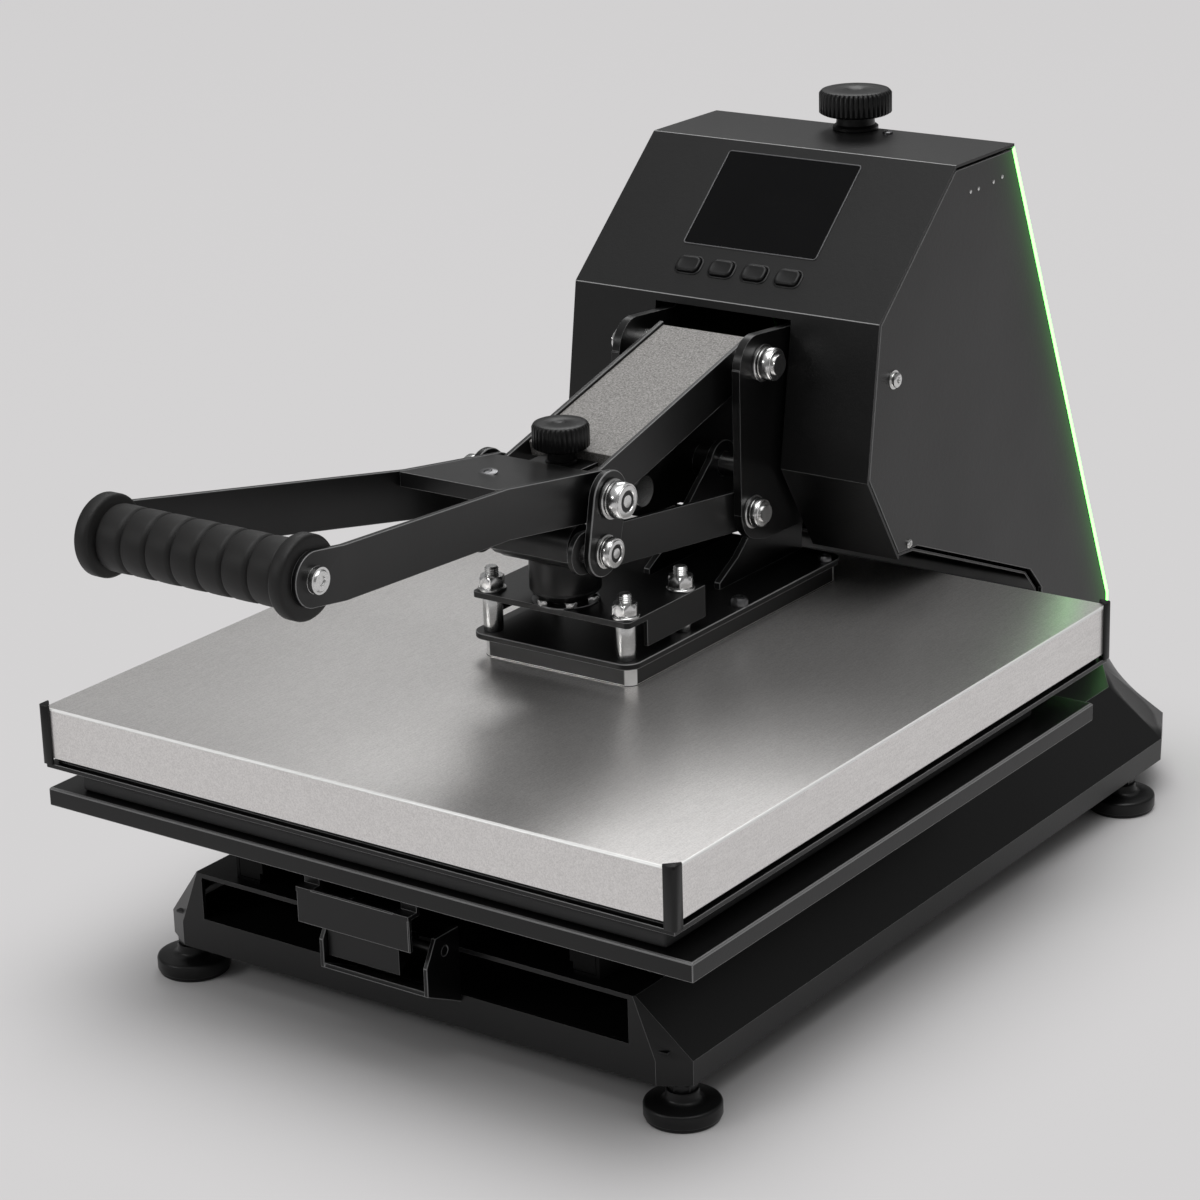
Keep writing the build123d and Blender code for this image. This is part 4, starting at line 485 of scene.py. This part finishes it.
# Finish of each material slot, and of the nodes that differ from their slot
FINISH = {
    "stainless": STAINLESS, "black_powder": BLACK_COAT, "grey_coat": GREY_COAT, "zinc": ZINC,
    "platen_aluminium": ALUMINIUM, "silicone": SILICONE, "foam": FOAM, "black_plastic": PLASTIC,
    "display_black": GLASS, "green_light": GREEN, "element_steel": DARK_ZINC, "insulation": WOOL,
    "circuit_board": BOARD,
}
SPECIAL = {
    "front_cover": HOUSING_COAT, "side_cover_left": SIDE_COAT, "side_cover_right": SIDE_COAT,
    "rear_cover": HOUSING_COAT, "belly_panel": HOUSING_COAT,
    "upper_arm": ARM_COAT, "handle_bars": ARM_COAT, "handle_crossplate": ARM_COAT,
    "lower_arms": ARM_COAT, "link_plates": ARM_COAT, "frame_cheeks": ARM_COAT,
    "slide_rails_fixed": RAIL_SHADE_COAT, "slide_rails_moving": RAIL_SHADE_COAT, "pressure_hub": PLASTIC,
}
# Width of the rounding on each node's edges, in millimetres
SOFT_EDGE = {
    "head_cover": 1.2, "base_tray": 0.8, "lower_platen": 0.5, "front_cover": 0.7,
    "side_cover_left": 0.5, "side_cover_right": 0.5, "handle_bars": 0.5, "handle_crossplate": 0.4,
    "upper_arm": 0.4, "lower_arms": 0.4, "link_plates": 0.6, "frame_cheeks": 0.5,
    "centre_plate": 0.5, "hanger_bracket": 0.5, "drawer_pull": 0.5, "latch_bracket": 0.4,
    "bottom_tray": 0.3, "hinge_ears": 0.4, "pressure_hub": 0.5, "hub_yoke": 0.6,
    "drawer_latch": 0.3, "arm_cover": 0.4, "display_window": 0.25, "drawer_carriage": 0.3,
    "rear_cover": 0.4, "belly_panel": 0.4, "power_inlet": 0.4, "switch_frame": 0.4,
    "heating_platen": 0.4,
}


def soften(obj, width, rim=None):
    """Round the hard edges of a frame node, with a painted highlight tone on the rounding."""
    weld = obj.modifiers.new("weld", "WELD")
    weld.merge_threshold = 0.00001
    flat = obj.modifiers.new("flat", "DECIMATE")
    flat.decimate_type = "DISSOLVE"
    flat.angle_limit = math.radians(0.4)
    edge = obj.modifiers.new("edge", "BEVEL")
    edge.width = width * MM
    edge.segments = 2
    edge.limit_method = "ANGLE"
    edge.angle_limit = math.radians(28.0)
    edge.use_clamp_overlap = True
    if rim:
        obj.data.materials.append(rim)
        edge.material = len(obj.data.materials) - 1
    level = obj.modifiers.new("level", "WEIGHTED_NORMAL")
    level.keep_sharp = False
    level.weight = 100


def dress_frame_nodes():
    slots = {entry["node"]: entry["material_slot"] for entry in frame["record"]["subparts"]}
    for name, obj in frame["nodes"].items():
        material = SPECIAL.get(name) or FINISH[slots[name]]
        for place in obj.material_slots:
            place.material = material
        if name in SOFT_EDGE:
            # Black coats get the painted highlight tone on their roundings, the head cover the stainless one
            rim = COAT_EDGE_HIGHLIGHT if material in BLACK_EDGE_HIGHLIGHTED else None
            soften(obj, SOFT_EDGE[name], STAINLESS_EDGE_HIGHLIGHT if name == "head_cover" else rim)


# Shapes of the added pieces

def finish_piece(bm, name, material, body, smooth=40.0, *, slot):
    """Turn the drawn faces into a piece that rides a body."""
    bmesh.ops.recalc_face_normals(bm, faces=bm.faces)
    mesh = bpy.data.meshes.new(name)
    bm.to_mesh(mesh)
    bm.free()
    mesh.materials.append(material)
    obj = bpy.data.objects.new(name, mesh)
    bpy.context.scene.collection.objects.link(obj)
    mesh.shade_smooth()
    mesh.set_sharp_from_angle(angle=math.radians(smooth))
    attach(obj, body)
    return obj


def axes_for(direction):
    along = Vector(direction).normalized()
    side = Vector((0, 0, 1)) if abs(along.z) < 0.9 else Vector((1, 0, 0))
    first = side.cross(along).normalized()
    return along, first, along.cross(first)


def bridge(bm, ring, following):
    """Band of faces between two rings of the same count."""
    for i in range(len(ring)):
        j = (i + 1) % len(ring)
        bm.faces.new((ring[i], ring[j], following[j], following[i]))


def bridge_all(bm, rings):
    for ring, following in zip(rings, rings[1:]):
        bridge(bm, ring, following)


def lathe(bm, centre, direction, profile, steps=48, radius_at=None):
    """Rings of (along, radius) in millimetres about an axis; a radius of zero closes the end."""
    along, first, second = axes_for(direction)
    centre = Vector(centre) * MM
    rings = []
    for distance, radius in profile:
        middle = centre + along * distance * MM
        if radius <= 0:
            rings.append([bm.verts.new(middle)])
            continue
        ring = []
        for i in range(steps):
            turn = 2 * math.pi * i / steps
            r = radius_at(distance, radius, turn) if radius_at else radius
            ring.append(bm.verts.new(middle + (first * math.cos(turn) + second * math.sin(turn)) * r * MM))
        rings.append(ring)
    for a, b in zip(rings, rings[1:]):
        if len(a) > 1 and len(b) > 1:
            bridge(bm, a, b)
        elif len(b) > 1:
            for i in range(steps):
                bm.faces.new((a[0], b[(i + 1) % steps], b[i]))
        elif len(a) > 1:
            for i in range(steps):
                bm.faces.new((a[i], a[(i + 1) % steps], b[0]))
    if len(rings[0]) > 1:
        bm.faces.new(rings[0][::-1])
    if len(rings[-1]) > 1:
        bm.faces.new(rings[-1])


def hex_nut(bm, centre, direction, start, end, flats, turn=0.0):
    """Nut with chamfered corners, from start to end along the axis."""
    def corner(distance, radius, angle):
        sector = math.pi / 3
        local = (angle + turn) % sector - sector / 2
        full = flats / 2 / math.cos(local)
        return min(full, radius)
    deep = flats / 2 / math.cos(math.pi / 6)
    rise = (end - start) * 0.14
    lathe(bm, centre, direction, [
        (start, 0), (start, flats / 2 * 0.98), (start + rise, deep), (end - rise, deep),
        (end, flats / 2 * 0.97), (end, 0),
    ], 72, corner)


def rounded_slab(bm, low, high, radius, segments):
    low, high = Vector(low) * MM, Vector(high) * MM
    corners = [bm.verts.new((x, y, z)) for x in (low.x, high.x) for y in (low.y, high.y)
               for z in (low.z, high.z)]
    for face in ((0, 1, 3, 2), (4, 6, 7, 5), (0, 4, 5, 1), (2, 3, 7, 6), (0, 2, 6, 4), (1, 5, 7, 3)):
        bm.faces.new([corners[i] for i in face])
    new_edges = list({e for v in corners for e in v.link_edges})
    bmesh.ops.bevel(bm, geom=new_edges, offset=radius * MM, segments=segments, profile=0.5,
                    affect="EDGES")


def both(x):
    return ((-x, -1), (x, 1))


# Bolts, washers and nuts of the pivots

def cap_head(bright, dark, x, side, y, z, washer, radius, length):
    """Washer and recessed head, standing out along X from a plate. The black ring between washer and head and
    the black disc at the bottom of the recess are painted shade.
    """
    end = HEAD_START + length
    for bm, profile, steps in (
            (bright, [(0, 0), (0, washer * 0.97), (0.3, washer), (1.5, washer),
                      (WASHER_THICK, washer * 0.96), (WASHER_THICK, 0)], 48),
            (dark, [(WASHER_THICK, 0), (WASHER_THICK, washer * 0.88), (HEAD_START, washer * 0.88),
                    (HEAD_START, 0)], 48),
            (bright, [(HEAD_START, 0), (HEAD_START, radius * 0.97), (3.0, radius), (end - 1.4, radius),
                      (end - 0.6, radius * 0.94), (end - 0.6, 0)], 56),
            (bright, [(end - 0.8, 0), (end - 0.8, radius * 0.88), (end - 0.2, radius * 0.86),
                      (end, radius * 0.80), (end, radius * 0.60), (end - 0.5, radius * 0.57),
                      (end - 0.5, 0)], 56),
            (dark, [(end - 0.5, 0), (end - 0.5, radius * 0.565), (end - 0.42, radius * 0.565),
                    (end - 0.42, 0)], 40),
            (bright, [(end - 0.42, 0), (end - 0.42, radius * 0.34), (end - 0.1, radius * 0.33),
                      (end + 0.1, radius * 0.2), (end + 0.12, 0)], 32)):
        lathe(bm, (x, y, z), (side, 0, 0), profile, steps)


def finish_hardware(bright, dark, name, body, node):
    """Bright heads that replace a frame node, and the black painted shade rings set in them."""
    piece = finish_piece(bright, name + "_hardware", ZINC, body, slot="zinc")
    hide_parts(node)
    finish_piece(dark, name + "_painted_shade", ARM_COAT, body, slot="black_powder")


def pivot_hardware():
    bright, dark = bmesh.new(), bmesh.new()
    for x, side in both(CHEEK_OUTER):
        cap_head(bright, dark, x, side, *UPPER_PIVOT, 10.6, 9.4, 7.4)
        cap_head(bright, dark, x, side, *LOWER_PIVOT, 9.6, 8.2, 5.0)
        cap_head(bright, dark, x, side, *HEAD_PIVOT, 9.5, 7.4, 4.6)
    for x, side in both(31.0):
        lathe(bright, (x, *UPPER_PIVOT), (side, 0, 0), [(0, 0), (0, 9), (6.7, 9), (6.7, 0)])
    finish_hardware(bright, dark, "pivot", "frame", "pivot_nuts")
    bright, dark = bmesh.new(), bmesh.new()
    for x, side in both(LINK_OUTER):
        cap_head(bright, dark, x, side, *CRANK_PIVOT, 9.2, 8.3, 5.2)
    finish_hardware(bright, dark, "crank", "links", "crank_bolts")
    bright, dark = bmesh.new(), bmesh.new()
    lathe(bright, (-43.0, *LEVER_PIVOT), (1, 0, 0), [(0, 0), (0, 5), (86, 5), (86, 0)], 36)
    for x, side in both(LINK_OUTER + 0.3):
        cap_head(bright, dark, x, side, *LEVER_PIVOT, 11.0, 10.0, 8.0)
    finish_hardware(bright, dark, "lever", "lever", "lever_shaft")


def screw_head(bm, centre, direction, radius, height):
    lathe(bm, centre, direction, [
        (0, 0), (0, radius), (height * 0.55, radius), (height * 0.9, radius * 0.8), (height, radius * 0.45),
        (height * 0.4, radius * 0.38), (height * 0.4, 0)], 32)


def housing_screws():
    bright, dark = bmesh.new(), bmesh.new()
    for x, side in both(HOUSING_HALF - 0.6):
        lathe(bright, (x, *SIDE_BOLT), (side, 0, 0), [
            (0, 0), (0, 5.4), (0.5, 5.4), (0.7, 4.2), (2.6, 4.2), (3.2, 3.4), (3.2, 1.8), (2.0, 1.5),
            (2.0, 0)], 36)
        screw_head(bright, (x, *SIDE_SCREW), (side, 0, 0), 2.6, 1.4)
        for place in SIDE_RIVETS:
            screw_head(bright, (x, *place), (side, 0, 0), 1.2, 0.5)
        for place in LOW_SCREWS:
            screw_head(dark, (x, *place), (side, 0, 0), 2.6, 1.2)
    finish_piece(bright, "housing_screws", ZINC, "frame", slot="zinc")
    finish_piece(dark, "housing_screws_black", DARK_ZINC, "frame", slot="zinc")


# Knobs

def fluted_cap(bm, centre, radius, height, flutes, neck):
    """Knob cap whose rim is cut by rounded flutes."""
    def rim(distance, r, turn):
        if r < radius * 0.95:
            return r
        wave = (flutes * turn / (2 * math.pi)) % 1.0
        groove = max(0.0, 1.0 - abs(wave - 0.5) / 0.3)
        return r - groove * radius * 0.045
    lathe(bm, centre, (0, 0, 1), [
        (0, neck), (0, radius * 0.88), (0.6, radius * 0.94), (1.4, radius), (height - 2.0, radius),
        (height - 0.9, radius * 0.96), (height - 0.3, radius * 0.93), (height, radius * 0.88),
        (height, radius * 0.24), (height - 0.5, radius * 0.2), (height - 0.5, 0)],
        flutes * 6, rim)


def knobs():
    x, y, z = TOP_KNOB
    bm = bmesh.new()
    lathe(bm, TOP_KNOB, (0, 0, 1), [
        (-55, 0), (-55, 5.0), (0, 5.0), (0, 13.4), (1.6, 13.4), (2.4, 12.4), (2.8, 11.4), (8.6, 11.0),
        (8.6, 0)])
    fluted_cap(bm, (x, y, z + 8.5), 21.3, 14.5, 44, 10.0)
    piece = finish_piece(bm, "top_knob_cap", PLASTIC, "adjusting_knob", 50.0, slot="black_plastic")
    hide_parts("top_knob")
    x, y, z = PRESSURE_KNOB
    bm = bmesh.new()
    lathe(bm, PRESSURE_KNOB, (0, 0, 1), [
        (-5, 0), (-5, 4), (0, 4), (0, 8.6), (1.0, 8.6), (1.6, 7.6), (8.0, 7.2), (8.0, 0)], 36)
    fluted_cap(bm, (x, y, z + 7.8), 15.5, 14.0, 34, 7.0)
    piece = finish_piece(bm, "pressure_knob_cap", PLASTIC, "lever_knob", 50.0, slot="black_plastic")
    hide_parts("pressure_knob")
    bm = bmesh.new()
    screw_head(bm, (*ROOF_SCREW, HOUSING_TOP), (0, 0, 1), 3.0, 1.6)
    finish_piece(bm, "housing_top_screw", DARK_ZINC, "frame", slot="zinc")


# Grip and pad

def grip():
    """Foam grip: two end collars and seven flat bands between narrow grooves."""
    half = GRIP_HALF
    collar = [(-half, 0), (-half, 7.5), (-half - 0.2, 9.0), (-half, 18.6), (-half + 0.5, 19.9),
              (-half + 1.5, 20.6), (-half + 6.6, 20.6), (-half + 7.8, 20.0), (-half + 8.4, 18.8),
              (-half + 8.8, 16.2), (-half + 9.4, 14.6)]
    start = -half + 9.4
    width = (half - 9.4) * 2 / GRIP_BANDS
    profile = list(collar)
    for i in range(GRIP_BANDS):
        x = start + i * width
        profile += [(x + share * width, radius) for share, radius in (
            (0.045, 15.4), (0.09, 16.2), (0.16, 16.5), (0.5, 16.6), (0.84, 16.5), (0.91, 16.2),
            (0.955, 15.4), (1.0, 14.6))]
    profile += [(-a, r) for a, r in collar[:-1][::-1]]
    bm = bmesh.new()
    lathe(bm, (0, *GRIP_AXIS), (1, 0, 0), profile, 72)
    piece = finish_piece(bm, "grip_foam", FOAM, "lever", 60.0, slot="foam")
    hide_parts("grip_sleeve")
    bm = bmesh.new()
    for x, side in both(GRIP_HALF + 3.3):
        lathe(bm, (x, *GRIP_AXIS), (side, 0, 0), [
            (0, 0), (0, 6.6), (0.8, 6.6), (1.1, 6.0), (1.4, 5.7), (3.6, 5.4), (4.4, 4.6), (4.4, 2.4),
            (3.2, 2.0), (3.2, 0)], 40)
    finish_piece(bm, "grip_end_screws", ZINC, "lever", slot="zinc")


def pad():
    low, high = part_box("pressing_pad")
    bm = bmesh.new()
    rounded_slab(bm, Vector(low) / MM, Vector(high) / MM, 2.2, 4)
    piece = finish_piece(bm, "pad_sheet", SILICONE, "drawer", slot="silicone")
    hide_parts("pressing_pad")


# Control panel

def slope_frame():
    dy, dz = SLOPE_TOP[0] - FOLD[0], SLOPE_TOP[1] - FOLD[1]
    length = math.hypot(dy, dz)
    return dy / length, dz / length


def on_slope(x, s, out):
    dy, dz = slope_frame()
    return Vector((x, FOLD[0] + dy * s - dz * out, FOLD[1] + dz * s + dy * out)) * MM


def rounded_outline(width, length, radius, steps=6):
    points = []
    for cx, cy, start in ((1, 1, 0), (-1, 1, 90), (-1, -1, 180), (1, -1, 270)):
        for i in range(steps + 1):
            turn = math.radians(start + 90 * i / steps)
            points.append((cx * (width / 2 - radius) + radius * math.cos(turn),
                           cy * (length / 2 - radius) + radius * math.sin(turn)))
    return points


def slope_rings(bm, x, s, layers, hollow=False):
    """Stack of outlines (width, length, radius, height) on the sloping panel."""
    loops = [[bm.verts.new(on_slope(x + px, s + py, height))
              for px, py in rounded_outline(width, length, radius)]
             for width, length, radius, height in layers]
    bridge_all(bm, loops)
    if hollow:
        bridge(bm, loops[-1], loops[0])
    else:
        bm.faces.new(loops[-1])
        bm.faces.new(loops[0][::-1])


def control_panel():
    bm = bmesh.new()
    slope_rings(bm, 0, DISPLAY_SEAT, [
        (89.6, 67.1, 2.2, -0.4), (89.6, 67.1, 2.2, 0.35), (89.2, 66.7, 2.0, 0.55), (88.6, 66.1, 1.8, 0.55),
        (88.2, 65.7, 1.6, 0.35), (88.2, 65.7, 1.6, -0.4)], hollow=True)
    finish_piece(bm, "display_border", DARK_ZINC, "frame", slot="zinc")
    bezels = bmesh.new()
    for i in range(4):
        x = (i - 1.5) * BUTTON_PITCH
        bm = bmesh.new()
        slope_rings(bm, x, BUTTON_SEAT, [
            (15.0, 10.0, 3.4, -2.5), (15.0, 10.0, 3.4, 1.3), (14.4, 9.4, 3.2, 1.95), (13.2, 8.2, 2.8, 2.3),
            (11.6, 6.8, 2.4, 2.15), (9.0, 4.6, 1.9, 1.95)])
        cap = finish_piece(bm, f"button_cap_{i + 1}", PLASTIC, f"button_{i + 1}_body", 55.0,
                           slot="black_plastic")
        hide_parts(f"button_{i + 1}")
        slope_rings(bezels, x, BUTTON_SEAT, [
            (17.6, 12.6, 4.4, -0.2), (17.6, 12.6, 4.4, 0.35), (17.0, 12.0, 4.2, 0.55),
            (16.1, 11.1, 3.9, 0.55), (15.8, 10.8, 3.8, 0.3), (15.8, 10.8, 3.8, -0.2)], hollow=True)
    finish_piece(bezels, "button_bezels", PLASTIC, "frame", slot="black_plastic")


# Fixings on the head

def head_fixings():
    """Studs of the hanger with sleeves, washers and nuts, hub bolts, and screws of the centre plate."""
    up = (0, 0, 1)
    studs, dark, bolts, collar = bmesh.new(), bmesh.new(), bmesh.new(), bmesh.new()
    for x, side in both(STUD_X):
        for y in STUD_Y:
            top = (x, y, BRACKET_TOP)
            lathe(studs, (x, y, PLATE_TOP), up, [
                (0, 0), (0, 5.2), (0.6, 5.5), (19.2, 5.5), (20.0, 5.2), (20.0, 0)], 36)
            lathe(studs, top, up, [(0, 0), (0, 7.6), (0.3, 7.9), (1.3, 7.9), (1.6, 7.6), (1.6, 0)])
            hex_nut(studs, top, up, 1.6, 8.3, 13.0, math.pi / 6)
            lathe(studs, top, up, [
                (7.0, 0), (7.0, 3.6), (9.0, 3.9), (9.5, 3.5), (10.1, 3.9), (10.6, 3.5), (11.2, 3.9),
                (11.7, 3.5), (12.3, 3.9), (13.4, 3.0), (13.4, 0)], 28)
    piece = finish_piece(studs, "hanger_hardware", ZINC, "head", slot="zinc")
    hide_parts("hanger_studs")
    for x, side in both(49.0):
        screw_head(dark, (x, -5.0, PLATE_TOP), up, 5.0, 5.0)
        screw_head(dark, (x, 84.0, PLATE_TOP), up, 4.0, 3.4)
    for turn in range(15, 375, 60):
        angle = math.radians(turn)
        place = (HUB_BOLT_CIRCLE * math.cos(angle), HUB_Y + HUB_BOLT_CIRCLE * math.sin(angle), BRACKET_TOP)
        hex_nut(bolts, place, up, 0, 3.4, 6.4)
    finish_piece(bolts, "hub_bolts", ZINC, "head", slot="zinc")
    lathe(dark, (0, HUB_Y, BRACKET_TOP), up, [(0, 0), (0, 18.4), (0.6, 18.6), (0.9, 18.4), (0.9, 0)])
    finish_piece(dark, "head_screws", DARK_ZINC, "head", slot="zinc")
    lathe(collar, (0, HUB_Y, BRACKET_TOP + 3.0), up, [
        (-0.4, 9.0), (-0.4, 12.4), (0.6, 13.2), (4.6, 19.0), (5.4, 19.6), (22.0, 19.6), (22.9, 18.8),
        (22.9, 9.0)], 72)
    finish_piece(collar, "hub_collar", PLASTIC, "head", slot="black_plastic")


def crossplate_screw():
    """Screw in the crossplate, between the handle bars."""
    bm = bmesh.new()
    run, rise = LEVER_PIVOT[0] - GRIP_AXIS[0], GRIP_AXIS[1] - LEVER_PIVOT[1]
    slope = math.atan2(rise, run)
    y = CROSSPLATE_SCREW_Y
    z = LEVER_PIVOT[1] + (LEVER_PIVOT[0] - y) / run * rise + CROSSPLATE_LIFT
    screw_head(bm, (0, y, z), (0, -math.sin(slope), math.cos(slope)), 5.2, 1.1)
    finish_piece(bm, "crossplate_screw", DARK_ZINC, "lever", slot="zinc")


def corner_angles():
    """Angles with a rounded back and a roof, on the four corners of the head cover."""
    bm = bmesh.new()
    low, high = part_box("corner_trims")
    low, high = Vector(low) / MM, Vector(high) / MM
    turns = [math.radians(90.0 * i / ANGLE_STEPS) for i in range(ANGLE_STEPS + 1)]
    back = [(ANGLE_ARC - ANGLE_ARC * math.sin(turn), ANGLE_ARC - ANGLE_ARC * math.cos(turn))
            for turn in turns]
    leg, thick = ANGLE_LEG, ANGLE_THICK
    angle = [(leg, thick), (leg, 0.5), (leg - 0.5, 0.0), *back, (0.0, leg - 0.5), (0.5, leg), (thick, leg),
             (thick, thick)]
    roof = [(leg, 0.4), *back, (0.4, leg)]
    # Outline, then (height, inset) of each of its levels
    stacks = ((angle, ((low.z, 0.3), (low.z + 0.5, 0.0), (high.z - 0.7, 0.0), (high.z, 0.5))),
              (roof, ((high.z - 1.5, 0.1), (high.z - 0.5, 0.1), (high.z + 0.2, 0.9))))
    for cx, sx in ((low.x, -1), (high.x, 1)):
        for cy, sy in ((low.y, -1), (high.y, 1)):
            for outline, levels in stacks:
                loops = [[bm.verts.new(Vector((cx - sx * max(px, inset), cy - sy * max(py, inset), z)) * MM)
                          for px, py in outline] for z, inset in levels]
                bridge_all(bm, loops)
                bm.faces.new(loops[0])
                bm.faces.new(loops[-1])
    piece = finish_piece(bm, "corner_angles", PLASTIC, "head", 50.0, slot="black_powder")
    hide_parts("corner_trims")


def tray_return_and_shade():
    """Front edge of the tray folded back under the mouth; the black sheet also stands in for the shade inside
    the mouth, hiding the floor beneath.
    """
    bm = bmesh.new()
    rounded_slab(bm, (-163.0, -248.4, 38.7), (163.0, -120.0, 40.3), 0.5, 2)
    finish_piece(bm, "tray_return_and_shade", BLACK_COAT, "frame", slot="black_powder")


def foot_rims():
    """Ribbed foot, lock nut and stem at each corner."""
    up = (0, 0, 1)
    for end, y in (("front", -FOOT_Y), ("rear", FOOT_Y)):
        for hand, x in (("left", -FOOT_X), ("right", FOOT_X)):
            name, place = f"foot_{end}_{hand}", (x, y, 0)
            bm = bmesh.new()
            lathe(bm, place, up, [
                (0, 0), (0, 18.6), (0.7, 19.3), (2.0, 19.3), (2.4, 20.0), (3.0, 20.3), (8.4, 20.3),
                (9.4, 19.9), (10.0, 18.8), (10.4, 12.0), (11.2, 9.6), (12.4, 8.8), (15.4, 8.6),
                (16.2, 8.2), (16.2, 0)], 64)
            hex_nut(bm, place, up, 16.2, 21.0, 14.0)
            lathe(bm, place, up, [(20.0, 0), (20.0, 4.0), (29.0, 4.0), (29.0, 0)], 24)
            piece = finish_piece(bm, name + "_pad", PLASTIC, name + "_body", 50.0, slot="black_plastic")
            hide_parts(name)


dress_frame_nodes()
pivot_hardware()
housing_screws()
knobs()
grip()
pad()
control_panel()
head_fixings()
crossplate_screw()
foot_rims()
tray_return_and_shade()
corner_angles()


# Floor, room and lamps

def floor():
    """Pale floor: lit under the press, and its own pale tone further out."""
    bm = bmesh.new()
    bmesh.ops.create_grid(bm, x_segments=1, y_segments=1, size=FLOOR_HALF)
    mesh = bpy.data.meshes.new("floor")
    bm.to_mesh(mesh)
    bm.free()
    obj = bpy.data.objects.new("floor", mesh)
    bpy.context.scene.collection.objects.link(obj)
    material, tree, shader = start_material("floor")
    shader.inputs["Base Color"].default_value = (*FLOOR_TONE, 1)
    shader.inputs["Roughness"].default_value = 0.7
    shader.inputs["Specular IOR Level"].default_value = 0.2
    place = split(tree, add(tree, "ShaderNodeNewGeometry").outputs["Position"])
    gaps = []
    for axis, reach in (("X", CONTACT_X), ("Y", CONTACT_Y)):
        gap = math_node(tree, "SUBTRACT", math_node(tree, "ABSOLUTE", place[axis], 0), reach)
        gap = math_node(tree, "MAXIMUM", gap, 0.0)
        gaps.append(math_node(tree, "POWER", gap, 2.0))
    away = math_node(tree, "POWER", math_node(tree, "ADD", *gaps), 0.5)
    share = smooth_share(tree, away, 0.0, CONTACT_FADE, FLOOR_GLOW)
    path = add(tree, "ShaderNodeLightPath")
    seen = math_node(tree, "MAXIMUM", path.outputs["Is Camera Ray"], path.outputs["Is Glossy Ray"])
    glow = add(tree, "ShaderNodeEmission")
    glow.inputs["Color"].default_value = (*FLOOR_TONE, 1)
    blend = add(tree, "ShaderNodeMixShader")
    tree.links.new(math_node(tree, "MULTIPLY", share, seen), blend.inputs[0])
    tree.links.new(shader.outputs[0], blend.inputs[1])
    tree.links.new(glow.outputs[0], blend.inputs[2])
    tree.links.new(blend.outputs[0], tree.nodes["Material Output"].inputs["Surface"])
    mesh.materials.append(material)


def room():
    """Dim walls and a brighter ceiling; the camera sees the floor's pale tone."""
    world = bpy.data.worlds.new("room")
    bpy.context.scene.world = world
    world.use_nodes = True
    tree = world.node_tree
    sky = tree.nodes["Background"]
    place = split(tree, add(tree, "ShaderNodeTexCoord").outputs["Generated"])
    ramp = add(tree, "ShaderNodeValToRGB")
    tree.links.new(place["Z"], ramp.inputs["Fac"])
    stops = ramp.color_ramp.elements
    stops[0].position, stops[0].color = 0.0, (0.17, 0.17, 0.17, 1)
    stops[1].position, stops[1].color = 0.85, (0.50, 0.50, 0.50, 1)
    middle = stops.new(0.45)
    middle.color = (0.21, 0.21, 0.21, 1)
    camera_ray = add(tree, "ShaderNodeLightPath").outputs["Is Camera Ray"]
    tree.links.new(mix_colour(tree, camera_ray, ramp.outputs["Color"], FLOOR_TONE), sky.inputs["Color"])
    sky.inputs["Strength"].default_value = 1.0


def lamp(name, place, target, size, power):
    data = bpy.data.lights.new(name, "AREA")
    data.shape = "RECTANGLE"
    data.size, data.size_y = size
    data.energy = power
    obj = bpy.data.objects.new(name, data)
    obj.location = place
    look = Vector(target) - Vector(place)
    obj.rotation_euler = look.to_track_quat("-Z", "Y").to_euler()
    bpy.context.scene.collection.objects.link(obj)


floor()
room()
lamp("key", (0.5, -0.4, 3.0), (0, 0, 0.15), (2.6, 2.6), 52.0)
lamp("back", (-1.1, 1.7, 2.2), (0, 0, 0.2), (1.1, 1.1), 12.0)
lamp("edge", (-1.3, -2.3, 1.5), (0, 0, 0.2), (1.2, 0.15), 9.0)
bpy.context.scene.view_settings.view_transform = "Standard"
